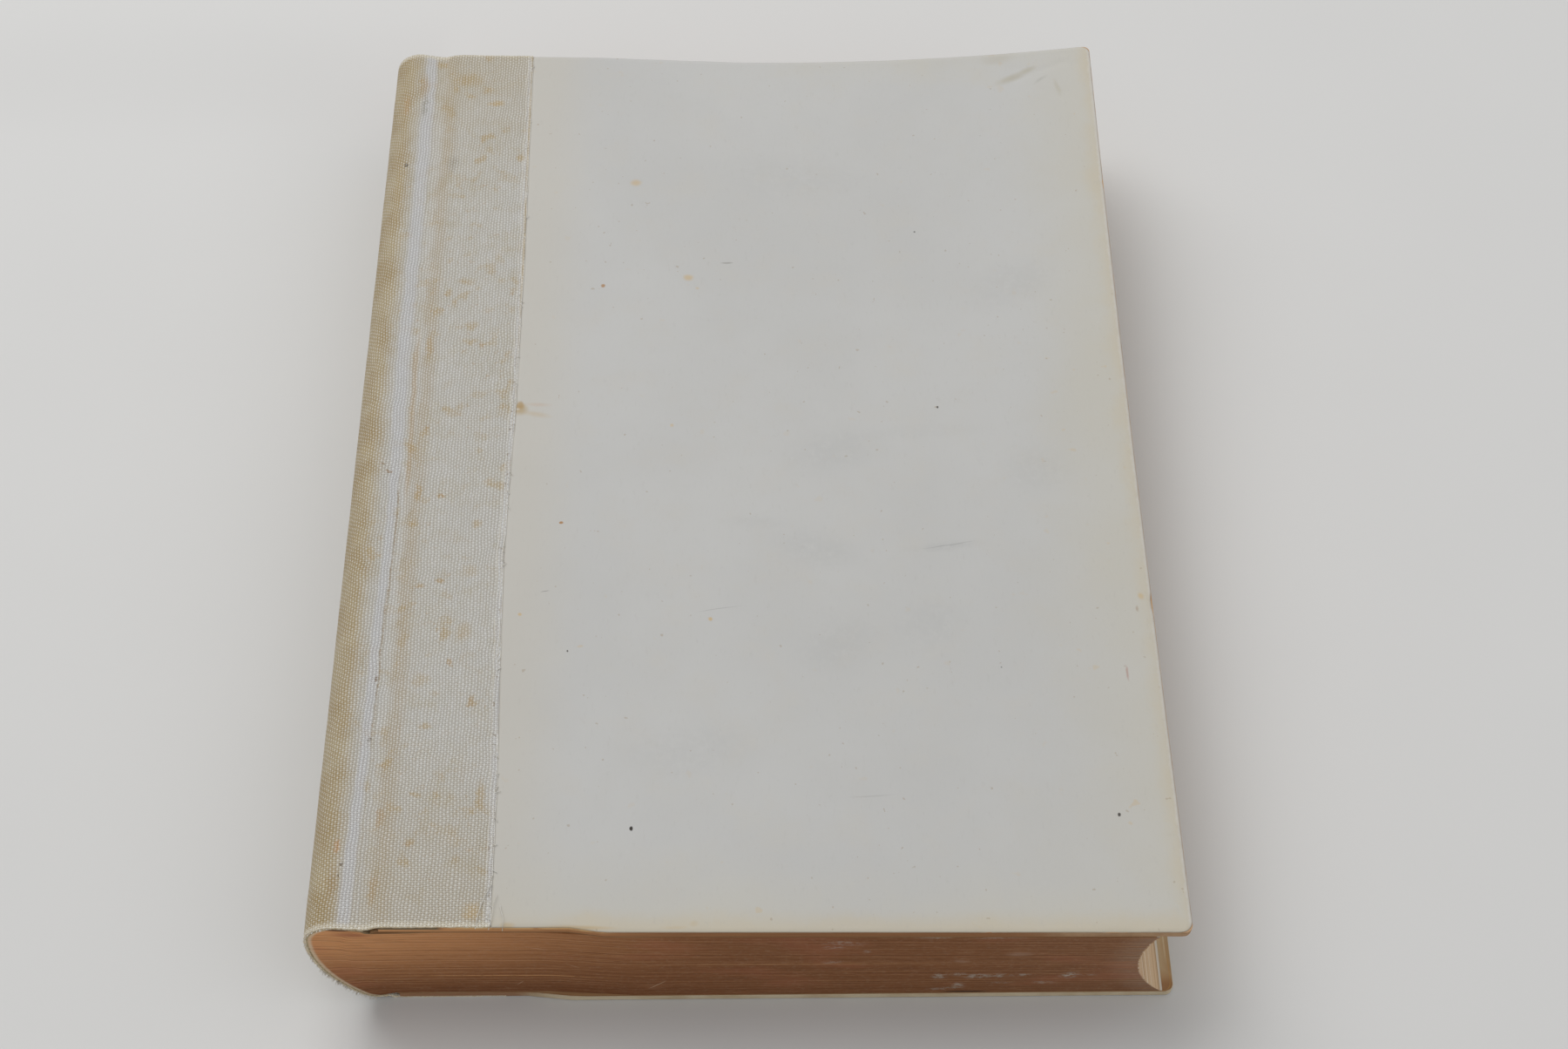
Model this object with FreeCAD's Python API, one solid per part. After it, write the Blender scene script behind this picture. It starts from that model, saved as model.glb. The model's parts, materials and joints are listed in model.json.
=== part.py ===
import FreeCAD
import Part

import math
import os

# A worn quarter-bound hardback book that lies on its back cover, spine to the left.
# Millimetres. X runs from the spine to the fore-edge, Y from the tail to the head, Z up.
# While it is built, X is 0 at the front joint, Y is 0 at the tail and Z is 0 on the table.
# Each piece is moved at the end, so that the origin is under the middle of the whole book.

# Leaves and boards
book_height = 210.0
leaves_thick = 25.4
board_width = 140.2
board_thick = 1.5
board_corner_round = 1.5
front_square = 5.5
back_square = 2.6
fore_edge_hollow = 3.7

# Sheets and strips glued to them
cloth_thick = 0.45
cover_paper_thick = 0.2
pastedown_thick = 0.15
flyleaf_thick = 0.15
flyleaf_overhang = 0.4
lining_thick = 0.3
cloth_pressed_into_front = 0.1

# Rounded back, which leans to the right at its foot
back_round = 31.7
front_shoulder_round = 5.6
back_shoulder_round = 3.7
front_shoulder_from_joint = 5.4
back_shoulder_from_joint = 2.2
front_shoulder_fall_deg = 11.0
back_shoulder_fall_deg = 20.0
joint_lean = 1.0

# Joints, where the cloth bends as a cover opens
front_joint_width = 2.4
back_joint_width = 1.8
joint_relief = 0.6
joint_relief_start = 0.8
joint_relief_width = 12.0
cloth_on_board_tail = 19.1
cloth_on_board_head = 17.1

# Clearances
air_gap = 0.2
turn_gap = 0.3
lining_end_gap = 0.3

# The front cover slopes down to the fore-edge, and its far corner has lifted
front_slope_deg = 1.12
lift_direction_deg = 26.7
lift_reach = 72.0
lift_radius = 400.0

# Beside the spine the tail was trimmed shorter, and the head reaches further out by as much.
# Each pair is where such a step in the edge starts and ends
tail_setback = 0.9
head_reach = 0.9
front_setback_ends = (34.8, 40.8)
block_setback_ends = (30.8, 44.8)
back_setback_ends = (25.8, 33.8)
head_reach_ends = (34.0, 66.0)

slope = math.radians(front_slope_deg)
back_joint_x = joint_lean
cloth_proud_front = cloth_thick - cloth_pressed_into_front
cloth_pressed_into_back = cloth_thick - cover_paper_thick
front_cover_depth = cloth_proud_front + board_thick + pastedown_thick
back_cover_top = cover_paper_thick + board_thick + pastedown_thick
block_bottom = back_cover_top + air_gap + flyleaf_thick
block_top_depth = front_cover_depth + air_gap + flyleaf_thick
hinge_height = block_bottom + leaves_thick + block_top_depth / math.cos(slope)
front_board_right = front_joint_width + board_width
back_board_right = back_joint_x + back_joint_width + board_width
full_height = book_height + head_reach
beyond = full_height + board_width


def vec(x, z):
    """A point of the section that is drawn across the spine."""
    return FreeCAD.Vector(x, 0, z)


def line(a, b):
    return Part.LineSegment(a, b).toShape()


def arc(a, through, b):
    return Part.Arc(a, through, b).toShape()


def polar(centre, radius, angle_deg):
    angle = math.radians(angle_deg)
    return vec(centre.x + radius * math.cos(angle), centre.z + radius * math.sin(angle))


def arc_about(centre, radius, start_deg, end_deg):
    middle_deg = (start_deg + end_deg) / 2
    return arc(*(polar(centre, radius, angle) for angle in (start_deg, middle_deg, end_deg)))


def polygon_face(points):
    return Part.Face(Part.makePolygon(points + [points[0]]))


def extrude_y(face, start, end):
    """Carries a section across the spine from one height of the page to another."""
    solid = face.extrude(FreeCAD.Vector(0, end - start, 0))
    solid.translate(FreeCAD.Vector(0, start, 0))
    return solid


def front_plane(x, depth):
    """Height of a plane that lies parallel to the front cover, so deep under its hinge line."""
    return hinge_height - depth / math.cos(slope) - x * math.tan(slope)


# The back of the book, in section

front_shoulder = vec(-front_shoulder_from_joint, hinge_height - turn_gap - front_shoulder_round)
back_shoulder = vec(back_joint_x - back_shoulder_from_joint, turn_gap + back_shoulder_round)


def back_centre():
    """Centre of the back's arc, which runs into both shoulder arcs without a corner."""
    to_front = back_round - front_shoulder_round
    to_back = back_round - back_shoulder_round
    between = back_shoulder - front_shoulder
    span = between.Length
    along = (to_front**2 - to_back**2 + span**2) / (2 * span)
    aside = math.sqrt(to_front**2 - along**2)
    unit = between / span
    right = vec(-unit.z, unit.x)
    return front_shoulder + unit * along + right * aside


spine_centre = back_centre()


def towards(start, end):
    return math.degrees(math.atan2(end.z - start.z, end.x - start.x)) % 360


front_shoulder_meet_deg = towards(spine_centre, front_shoulder)
back_shoulder_meet_deg = towards(spine_centre, back_shoulder)
front_crest_deg = 90 - front_shoulder_fall_deg
back_crest_deg = 270 + back_shoulder_fall_deg
front_fall = math.tan(math.radians(front_shoulder_fall_deg))
back_fall = math.tan(math.radians(back_shoulder_fall_deg))


def front_crest(inset):
    """Where the front shoulder's arc ends and its straight fall to the joint starts."""
    return polar(front_shoulder, front_shoulder_round - inset, front_crest_deg)


def back_crest(inset):
    return polar(back_shoulder, back_shoulder_round - inset, back_crest_deg)


def back_line(inset, front_x, back_x):
    """Edges from the front joint round the back to the back joint, a constant depth inside."""
    front_radius = front_shoulder_round - inset
    back_radius = back_shoulder_round - inset
    front_start = front_crest(inset)
    back_start = back_crest(inset)
    front_end = vec(front_x, front_start.z - (front_x - front_start.x) * front_fall)
    back_end = vec(back_x, back_start.z + (back_x - back_start.x) * back_fall)
    meets = (front_shoulder_meet_deg, back_shoulder_meet_deg)
    return [
        line(front_end, front_start),
        arc_about(front_shoulder, front_radius, front_crest_deg, front_shoulder_meet_deg),
        arc_about(spine_centre, back_round - inset, *meets),
        arc_about(back_shoulder, back_radius, back_shoulder_meet_deg, back_crest_deg),
        line(back_start, back_end),
    ]


def ends_of(edges):
    return edges[0].Vertexes[0].Point, edges[-1].Vertexes[-1].Point


def strip_on_back(outer_inset, inner_inset, joint_gap):
    """A strip glued round the back, between two depths, that stops short of both joints."""
    front_x = -joint_gap
    back_x = back_joint_x - joint_gap
    outer = back_line(outer_inset, front_x, back_x)
    inner = back_line(inner_inset, front_x, back_x)
    outer_front, outer_back = ends_of(outer)
    inner_front, inner_back = ends_of(inner)
    wire = Part.Wire(
        Part.__sortEdges__(
            outer + inner + [line(outer_front, inner_front), line(outer_back, inner_back)]
        )
    )
    return extrude_y(Part.Face(wire), tail_setback, full_height)


# The leaves

block_inset = cloth_thick + lining_thick
leaf_right_top = front_board_right - front_square
leaf_right_bottom = back_board_right - back_square


def block_top_line():
    """The top leaf, from the front joint to the fore-edge; it lies lower beside the joint."""
    low = front_plane(front_joint_width, block_top_depth) - joint_relief
    return [
        vec(joint_relief_start, low),
        vec(joint_relief_width, front_plane(joint_relief_width, block_top_depth)),
        vec(leaf_right_top, front_plane(leaf_right_top, block_top_depth)),
    ]


def block_bottom_line():
    crest = back_crest(block_inset)
    return [
        vec(crest.x + (block_bottom - crest.z) / back_fall, block_bottom),
        vec(leaf_right_bottom, block_bottom),
    ]


def block_of(face):
    """A flat outline as a block that runs well above and below the leaves or the cover."""
    face = face.copy()
    face.translate(FreeCAD.Vector(0, 0, -hinge_height))
    return face.extrude(FreeCAD.Vector(0, 0, 2 * hinge_height))


def tail_trim(setback_ends):
    """What the cut along the tail took away beside the spine."""
    start, end = setback_ends
    points = [
        FreeCAD.Vector(-beyond, -beyond, 0),
        FreeCAD.Vector(end, -beyond, 0),
        FreeCAD.Vector(end, 0, 0),
        FreeCAD.Vector(start, tail_setback, 0),
        FreeCAD.Vector(-beyond, tail_setback, 0),
    ]
    return block_of(polygon_face(points))


def head_trim(reach_ends):
    """What lies past the head's edge, which steps out beside the spine."""
    start, end = reach_ends
    points = [
        FreeCAD.Vector(-beyond, full_height, 0),
        FreeCAD.Vector(start, full_height, 0),
        FreeCAD.Vector(end, book_height, 0),
        FreeCAD.Vector(beyond, book_height, 0),
        FreeCAD.Vector(beyond, 2 * beyond, 0),
        FreeCAD.Vector(-beyond, 2 * beyond, 0),
    ]
    return block_of(polygon_face(points))


def trimmed_leaves(section):
    """A section of the leaves, carried from the tail to the head and cut along both."""
    uncut = extrude_y(section, 0, full_height)
    return uncut.cut(tail_trim(block_setback_ends)).cut(head_trim(head_reach_ends))


def text_block():
    top = block_top_line()
    bottom = block_bottom_line()
    back = back_line(block_inset, 0, bottom[0].x)
    joint_edge = ends_of(back)[0]
    chord = top[-1] - bottom[-1]
    inward = vec(-chord.z, chord.x) / chord.Length
    hollow = (top[-1] + bottom[-1]) / 2 + inward * fore_edge_hollow
    edges = back + [line(joint_edge, top[0]), line(top[0], top[1]), line(top[1], top[2])]
    edges.append(line(bottom[0], bottom[1]))
    edges.append(arc(top[-1], hollow, bottom[-1]))
    return trimmed_leaves(Part.Face(Part.Wire(Part.__sortEdges__(edges))))


def flyleaf(lower_line, overhang):
    """A loose leaf that follows a line of the section, one leaf thick."""
    reach = vec(overhang, 0)
    thick = vec(0, flyleaf_thick)
    lower = lower_line[:-1] + [lower_line[-1] + reach]
    upper = [point + thick for point in reversed(lower)]
    return trimmed_leaves(polygon_face(lower + upper))


# A cover lies flat while it is built: X is 0 on its hinge line, Z is 0 on its board's outer face
# and up is outwards. The back cover is turned over when it is put in place.


def cloth_edge(joint_width, y):
    """Where the cloth ends on the board, at a height of the page."""
    share = y / book_height
    on_board = cloth_on_board_tail + (cloth_on_board_head - cloth_on_board_tail) * share
    return joint_width + on_board


def board_outline(joint_width, reach_ends):
    """The board seen from outside, with the two corners at the fore-edge worn round."""
    start, end = reach_ends
    left = joint_width
    right = joint_width + board_width
    worn = board_corner_round
    centre_x = right - worn
    near_45 = worn * math.sqrt(0.5)

    def flat(x, y):
        return FreeCAD.Vector(x, y, 0)

    edges = [
        line(flat(left, 0), flat(centre_x, 0)),
        arc(flat(centre_x, 0), flat(centre_x + near_45, worn - near_45), flat(right, worn)),
        line(flat(right, worn), flat(right, book_height - worn)),
        arc(
            flat(right, book_height - worn),
            flat(centre_x + near_45, book_height - worn + near_45),
            flat(centre_x, book_height),
        ),
        line(flat(centre_x, book_height), flat(end, book_height)),
        line(flat(end, book_height), flat(start, full_height)),
        line(flat(start, full_height), flat(left, full_height)),
        line(flat(left, full_height), flat(left, 0)),
    ]
    return Part.Face(Part.Wire(edges))


def cloth_half(joint_width):
    """The side of the cover that the cloth takes, as a block that ends at the cloth's edge."""
    points = [
        FreeCAD.Vector(-beyond, 0, 0),
        FreeCAD.Vector(cloth_edge(joint_width, 0), 0, 0),
        FreeCAD.Vector(cloth_edge(joint_width, full_height), full_height, 0),
        FreeCAD.Vector(-beyond, full_height, 0),
    ]
    return block_of(polygon_face(points))


def flat_slab(low, high):
    slab = Part.makeBox(2 * beyond, 2 * beyond, high - low)
    slab.translate(FreeCAD.Vector(-beyond, -beyond / 2, low))
    return slab


def lifted_slab(low, high):
    """A layer of the front cover, flat but for the corner that has curled up."""
    angle = math.radians(lift_direction_deg)
    along = FreeCAD.Vector(math.cos(angle), math.sin(angle), 0)
    across = FreeCAD.Vector(-math.sin(angle), math.cos(angle), 0)
    corner = FreeCAD.Vector(front_board_right, book_height, 0)
    start = corner - along * lift_reach - across * beyond
    turn = math.asin((lift_reach + board_thick) / (lift_radius - board_thick))

    def at(distance, height):
        return start + along * distance + FreeCAD.Vector(0, 0, height)

    def curled(height, angle_in):
        radius = lift_radius - height
        return at(radius * math.sin(angle_in), lift_radius - radius * math.cos(angle_in))

    edges = [
        line(at(-beyond, low), at(0, low)),
        arc(at(0, low), curled(low, turn / 2), curled(low, turn)),
        line(curled(low, turn), curled(high, turn)),
        arc(curled(high, turn), curled(high, turn / 2), at(0, high)),
        line(at(0, high), at(-beyond, high)),
        line(at(-beyond, high), at(-beyond, low)),
    ]
    return Part.Face(Part.Wire(edges)).extrude(across * 2 * beyond)


def parallel_cross(corner, away, thick, level):
    """Where a line through corner and away, moved down by thick, crosses a level."""
    run = away - corner
    unit = run / run.Length
    moved = corner + vec(unit.z, -unit.x) * thick
    return vec(moved.x + (level - moved.z) * unit.x / unit.z, level)


def cloth_side(joint_width, proud, groove_depth, lean):
    """The cloth on one board and down into the joint's groove, where its end stands upright."""
    groove = vec(groove_depth * math.tan(lean), proud - groove_depth)
    bend = vec(joint_width - cloth_thick / 2, proud)
    inner_level = proud - cloth_thick
    inner_bend = parallel_cross(groove, bend, cloth_thick, inner_level)
    tilt = math.atan2(bend.z - groove.z, bend.x - groove.x)
    inner_depth = groove_depth + cloth_thick / math.cos(tilt)
    inner_groove = vec(inner_depth * math.tan(lean), proud - inner_depth)
    right = joint_width + cloth_on_board_tail + cloth_on_board_head
    points = [groove, bend, vec(right, proud), vec(right, inner_level), inner_bend, inner_groove]
    strip = extrude_y(polygon_face(points), 0, full_height)
    return strip.common(cloth_half(joint_width))


def cover(joint_width, pressed, groove_depth, lean, slab, setback_ends, reach_ends):
    """The four pieces of one cover: board, outer paper, endpaper leaf and cloth."""
    trim = tail_trim(setback_ends)
    outline = block_of(board_outline(joint_width, reach_ends)).cut(trim)
    cloth_zone = cloth_half(joint_width)
    recess = slab(-pressed, board_thick).common(cloth_zone)
    cloth = cloth_side(joint_width, cloth_thick - pressed, groove_depth, lean)
    return {
        "board": slab(-board_thick, 0).common(outline).cut(recess),
        "cover_paper": slab(0, cover_paper_thick).common(outline).cut(cloth_zone),
        "pastedown": slab(-board_thick - pastedown_thick, -board_thick).common(outline),
        "cloth_side": cloth.cut(trim),
    }


def place_front(shape):
    shape = shape.copy()
    shape.translate(FreeCAD.Vector(0, 0, -cloth_proud_front))
    shape.rotate(FreeCAD.Vector(0, 0, 0), FreeCAD.Vector(0, 1, 0), front_slope_deg)
    shape.translate(FreeCAD.Vector(0, 0, hinge_height))
    return shape


def place_back(shape):
    shape = shape.mirror(FreeCAD.Vector(0, 0, 0), FreeCAD.Vector(0, 0, 1))
    shape.translate(FreeCAD.Vector(back_joint_x, 0, cover_paper_thick))
    return shape


# Groove depths follow from where the back's cloth reaches each joint

spine_cloth_front, spine_cloth_back = ends_of(back_line(0, 0, back_joint_x))
front_groove_depth = (hinge_height - spine_cloth_front.z) * math.cos(slope)
back_groove_depth = spine_cloth_back.z

front_cover = cover(
    front_joint_width,
    cloth_pressed_into_front,
    front_groove_depth,
    slope,
    lifted_slab,
    front_setback_ends,
    head_reach_ends,
)
back_cover = cover(
    back_joint_width,
    cloth_pressed_into_back,
    back_groove_depth,
    0,
    flat_slab,
    tuple(x - back_joint_x for x in back_setback_ends),
    tuple(x - back_joint_x for x in head_reach_ends),
)

back_leaf_line = [point - vec(0, flyleaf_thick) for point in block_bottom_line()]
pieces = {
    "text_block": text_block(),
    "spine_lining": strip_on_back(cloth_thick, block_inset, lining_end_gap),
    "spine_cloth": strip_on_back(0, cloth_thick, 0),
    "front_flyleaf": flyleaf(block_top_line(), 0),
    "back_flyleaf": flyleaf(back_leaf_line, flyleaf_overhang),
}
for name, shape in front_cover.items():
    pieces["front_" + name] = place_front(shape)
for name, shape in back_cover.items():
    pieces["back_" + name] = place_back(shape)

spine_left = spine_centre.x - back_round
middle_x = (spine_left + back_board_right) / 2
to_origin = FreeCAD.Vector(-middle_x, -full_height / 2, 0)

os.makedirs("parts", exist_ok=True)
for name, shape in sorted(pieces.items()):
    shape = shape.removeSplitter()
    shape.translate(to_origin)
    solids = shape.Solids
    print(name, len(solids), "solid", round(shape.Volume, 1), "mm3", shape.isValid())
    solids[0].exportStep("parts/" + name + ".step")
print("front hinge", round(-middle_x, 4), round(hinge_height, 4))
print("back hinge", round(back_joint_x - middle_x, 4), 0)
print("width over the back and the boards", round(back_board_right - spine_left, 3))
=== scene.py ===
# %% [markdown]
# # A worn hardback book with a linen back and paper sides
#
# The book lies on its back cover, with its spine to the left and its tail towards us. The CAD
# model is the frame: it fixes every size, and two hinges let the covers open. This notebook
# dresses that frame with the things that make an old book look old: browned leaves, a frayed
# strip of linen, soiled paper and worn corners.

import json
import math
import random

import bmesh
import bpy
import numpy as np
from mathutils import Matrix, Vector, noise


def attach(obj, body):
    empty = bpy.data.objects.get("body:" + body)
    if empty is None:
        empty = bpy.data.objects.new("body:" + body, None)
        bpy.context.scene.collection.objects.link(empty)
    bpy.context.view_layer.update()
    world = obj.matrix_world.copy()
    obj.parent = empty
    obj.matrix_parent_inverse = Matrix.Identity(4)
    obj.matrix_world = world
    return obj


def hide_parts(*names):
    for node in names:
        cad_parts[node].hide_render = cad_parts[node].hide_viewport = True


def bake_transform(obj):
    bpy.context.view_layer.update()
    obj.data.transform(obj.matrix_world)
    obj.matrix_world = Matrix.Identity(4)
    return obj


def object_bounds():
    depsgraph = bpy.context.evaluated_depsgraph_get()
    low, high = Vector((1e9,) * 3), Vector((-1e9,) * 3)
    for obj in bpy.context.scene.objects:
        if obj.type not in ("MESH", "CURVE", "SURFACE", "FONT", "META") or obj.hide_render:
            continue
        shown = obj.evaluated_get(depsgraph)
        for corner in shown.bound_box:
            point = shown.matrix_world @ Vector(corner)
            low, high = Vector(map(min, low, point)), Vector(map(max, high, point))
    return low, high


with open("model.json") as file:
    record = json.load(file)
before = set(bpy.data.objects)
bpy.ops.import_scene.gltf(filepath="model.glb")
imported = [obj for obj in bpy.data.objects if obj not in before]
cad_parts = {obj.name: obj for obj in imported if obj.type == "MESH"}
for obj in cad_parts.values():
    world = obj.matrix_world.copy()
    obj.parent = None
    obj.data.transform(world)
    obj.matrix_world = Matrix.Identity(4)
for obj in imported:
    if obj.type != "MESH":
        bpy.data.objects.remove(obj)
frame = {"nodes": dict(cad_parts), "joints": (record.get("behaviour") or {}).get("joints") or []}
cad_low, cad_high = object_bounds()
MM = 0.001
hinges = {j["name"]: np.array(j["pos_m"]) / MM for j in frame["joints"]}
front_hinge = hinges["front_cover_hinge"]
back_hinge = hinges["back_cover_hinge"]

# %% [markdown]
# ## The camera
#
# The photograph looks down steeply from the tail end. Its place and turn were found by fitting
# the book's outline. A camera looks along its own -Z with its own Y up, so the three columns of
# its matrix are right, up and backwards. The lens follows from a sensor 36 mm wide.

# %% Set up the camera
camera_place = Vector((-2.63, -274.47, 395.99)) * MM
camera_pitch, camera_yaw, camera_roll = (math.radians(a) for a in (55.34, 2.22, 1.57))
camera_lens = 53.38

look = Vector(
    (
        math.sin(camera_yaw) * math.cos(camera_pitch),
        math.cos(camera_yaw) * math.cos(camera_pitch),
        -math.sin(camera_pitch),
    )
)
level_right = Vector((math.cos(camera_yaw), -math.sin(camera_yaw), 0))
right = Matrix.Rotation(-camera_roll, 3, look) @ level_right
upward = right.cross(look)
bpy.ops.object.camera_add()
camera = bpy.context.object
camera.data.lens = camera_lens
camera.data.sensor_width = 36
camera.data.clip_start = 0.01
turned = Matrix((right, upward, -look)).transposed().to_4x4()
camera.matrix_world = Matrix.Translation(camera_place) @ turned
bpy.context.scene.camera = camera
bpy.context.scene.view_settings.view_transform = "Standard"
print("camera at", [round(c, 3) for c in camera.location])

# %% [markdown]
# ## Sizes of the book
#
# These are the same few sizes that drive the CAD model, in millimetres. The hinge lines come
# from the frame. Along a cover, x is measured from its hinge line to the right; along the
# book, y is measured from the tail. Beside the spine the tail is trimmed shorter; the pairs
# that end in step_ends say how far from the hinge line that step starts and ends on each piece.

# %% Name the sizes
book_low, book_high = (np.array(corner) / MM for corner in (cad_low, cad_high))
tail_y = book_low[1]
head_reach = 0.9
full_height = book_high[1] - tail_y
book_height = full_height - head_reach
board_width = 140.2
board_thick = 1.5
cloth_thick = 0.45
lining_thick = 0.3
paper_thick = 0.2
endpaper_thick = 0.15
air_gap = 0.2
turn_gap = 0.3
tail_setback = 0.9
leaves_step_ends, front_step_ends, back_step_ends = (30.8, 44.8), (34.8, 40.8), (25.8, 33.8)
board_corner, paper_corner = 1.5, 2.1
back_round = 31.7
front_shoulder_round, back_shoulder_round = 5.6, 3.7
front_shoulder_from_joint, back_shoulder_from_joint = 5.4, 2.2
front_fall_deg, back_fall_deg = 11.0, 20.0
front_joint_width, back_joint_width = 2.4, 1.8
cloth_on_board_tail, cloth_on_board_head = 19.1, 17.1
front_slope = math.radians(1.12)
lift_direction = math.radians(26.7)
lift_reach, lift_radius = 72.0, 400.0
cloth_proud = 0.35
joint_relief, joint_relief_start, joint_relief_width = 0.6, 0.8, 12.0
front_square, back_square = 5.5, 2.6
fore_edge_hollow = 3.7
flyleaf_overhang = 0.4
front_board_right = front_joint_width + board_width
back_board_right = back_joint_width + board_width
board_depth = cloth_proud + board_thick
pastedown_depth = board_depth + endpaper_thick / 2
block_top_depth = board_depth + 2 * endpaper_thick + air_gap
block_bottom = paper_thick + board_thick + 2 * endpaper_thick + air_gap
print("book", np.round(book_high - book_low, 2), "mm")

# %% [markdown]
# ## Modelling helpers
#
# Most pieces of a book are sheets or blocks that have been bent a little. So each one starts as
# a flat grid or a cube of unit size, cut into rows and columns with Blender's own operators,
# and its points are then moved to their places in one go. The unit coordinates say which row
# and column a point belongs to, and that makes patterns that follow the leaves or the threads
# easy to write.


# %% Make sheets and blocks
def deselect():
    bpy.ops.object.select_all(action="DESELECT")


def only(piece):
    """Selects this piece alone, for the next operator to work on."""
    deselect()
    piece.select_set(True)
    bpy.context.view_layer.objects.active = piece


def name_piece(name):
    piece = bpy.context.object
    bpy.ops.object.transform_apply(location=True, rotation=True, scale=True)
    piece.name = piece.data.name = name
    return piece


def unit_sheet(name, across, along):
    """A flat square of unit size, with so many columns and rows."""
    deselect()
    bpy.ops.mesh.primitive_grid_add(
        x_subdivisions=across, y_subdivisions=along, size=1, location=(0.5, 0.5, 0)
    )
    return name_piece(name)


def unit_block(name, cuts):
    """A cube of unit size, with each side cut into so many strips."""
    deselect()
    bpy.ops.mesh.primitive_cube_add(size=1, location=(0.5, 0.5, 0.5))
    piece = name_piece(name)
    bpy.ops.object.mode_set(mode="EDIT")
    bpy.ops.mesh.select_mode(type="EDGE")
    for axis, count in enumerate(cuts):
        bpy.ops.mesh.select_all(action="DESELECT")
        edit = bmesh.from_edit_mesh(piece.data)
        for edge in edit.edges:
            run = edge.verts[1].co - edge.verts[0].co
            edge.select_set(abs(run[axis]) > 0.5 * run.length)
        bmesh.update_edit_mesh(piece.data)
        bpy.ops.mesh.subdivide(number_cuts=count - 1)
    bpy.ops.object.mode_set(mode="OBJECT")
    return piece


print("sheets and blocks can be made")

# %% [markdown]
# A piece's points are quickest to move as one table, so one helper reads them into an array and
# another writes them back, in millimetres. What a material has to know about a point is kept on
# the mesh: a single number as an attribute, and the place on the flat, uncut sheet as a UV map.


# %% Move points and keep values on them
def points_of(piece):
    places = np.empty(len(piece.data.vertices) * 3, np.float32)
    piece.data.vertices.foreach_get("co", places)
    return places.reshape(-1, 3).astype(float)


def put(piece, places):
    """Moves a piece's points to places that are given in millimetres."""
    piece.data.vertices.foreach_set("co", (places * MM).astype(np.float32).ravel())
    piece.data.update()


def keep_value(piece, name, values):
    """Stores one number for each point, for a material to read."""
    layer = piece.data.attributes.new(name, "FLOAT", "POINT")
    layer.data.foreach_set("value", values.astype(np.float32))


def lay_out(piece, across, along):
    """Writes each point's place on the flat, uncut sheet, in metres, as the piece's UV map."""
    for layer in list(piece.data.uv_layers):
        piece.data.uv_layers.remove(layer)
    layer = piece.data.uv_layers.new(name="flat")
    corners = np.empty(len(piece.data.loops), np.int32)
    piece.data.loops.foreach_get("vertex_index", corners)
    flat = np.column_stack([across, along])[corners] * MM
    layer.data.foreach_set("uv", flat.astype(np.float32).ravel())


print("points can be moved")

# %% [markdown]
# Paper and cloth are thin sheets, so each is modelled as one surface and a live Solidify
# modifier gives it its thickness. Smooth shading hides the facets of a bend, but it would also
# round off a cut edge, so the edges round a sheet are marked as sharp.


# %% Shade and thicken
def turn_outwards(piece):
    only(piece)
    bpy.ops.object.mode_set(mode="EDIT")
    bpy.ops.mesh.select_all(action="SELECT")
    bpy.ops.mesh.normals_make_consistent(inside=False)
    bpy.ops.object.mode_set(mode="OBJECT")


def smooth(piece, angle_deg):
    only(piece)
    bpy.ops.object.shade_smooth_by_angle(angle=math.radians(angle_deg))


def sharpen_rim(sheet):
    """Keeps the cut edge of a sheet from being shaded as if it were rounded."""
    faces_beside = {}
    for face in sheet.data.polygons:
        for key in face.edge_keys:
            faces_beside[key] = faces_beside.get(key, 0) + 1
    for edge in sheet.data.edges:
        if faces_beside[edge.key] == 1:
            edge.use_edge_sharp = True


def thicken(piece, thick, offset):
    """Gives a sheet its thickness with a live modifier, so that it keeps it when it bends."""
    wall = piece.modifiers.new("thickness", "SOLIDIFY")
    wall.thickness = thick * MM
    wall.offset = offset
    wall.use_even_offset = False
    return wall


print("sheets can be thickened")

# %% [markdown]
# Old paper and cloth are never quite even. Cloudy noise with a seed of its own gives each piece
# its unevenness, the same in every run. The other helpers set rows of points closer together
# where a shape is finer, and let one shape run softly into another.


# %% Make noise and spacing
def rough(places, size, seed=0, octaves=3):
    """Cloudy noise, from about -1 to 1, with lumps of a given size in millimetres."""
    shift = Vector((17.3, 5.1, 9.7)) * seed
    return np.array(
        [noise.fractal(Vector(p) / size + shift, 1.0, 2.0, octaves) for p in places]
    )


def stations(*runs):
    """Places along a line: each run is a length and how many steps cut it."""
    steps = [np.full(count, length / count) for length, count in runs]
    return np.concatenate([[0], np.cumsum(np.concatenate(steps))])


def spaced(unit, places):
    """Where rows that were cut evenly from 0 to 1 go, when they are moved to these places."""
    return np.interp(unit, np.linspace(0, 1, len(places)), places)


def ease(x, start, end):
    """Grows softly from 0 at the start to 1 at the end."""
    t = np.clip((x - start) / (end - start), 0, 1)
    return t * t * (3 - 2 * t)


print("noise at one point", round(float(rough([(1, 2, 3)], 5)[0]), 3))

# %% [markdown]
# ## Lines of the section
#
# Cut the book across its spine and you see the shape that matters most: a rounded back that
# leans over, with a shoulder above and below it, and a groove beside each shoulder where the
# cover bends. Two helpers draw such lines from arcs and rounded corners, and a third finds the
# point at a given length along one.


# %% Draw lines
def arc(centre, radius, start_deg, end_deg, steps=20):
    angles = np.radians(np.linspace(start_deg, end_deg, steps + 1))
    return np.column_stack(
        [centre[0] + radius * np.cos(angles), centre[1] + radius * np.sin(angles)]
    )


def rounded(before, corner, after, reach, steps=8):
    """The corner of a line, replaced by a curve that starts and ends at a reach from it."""
    before, corner, after = (np.array(p, float) for p in (before, corner, after))
    start = corner + (before - corner) / np.linalg.norm(before - corner) * reach
    end = corner + (after - corner) / np.linalg.norm(after - corner) * reach
    t = np.linspace(0, 1, steps + 1)[:, None]
    return (1 - t) ** 2 * start + 2 * t * (1 - t) * corner + t**2 * end


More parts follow.
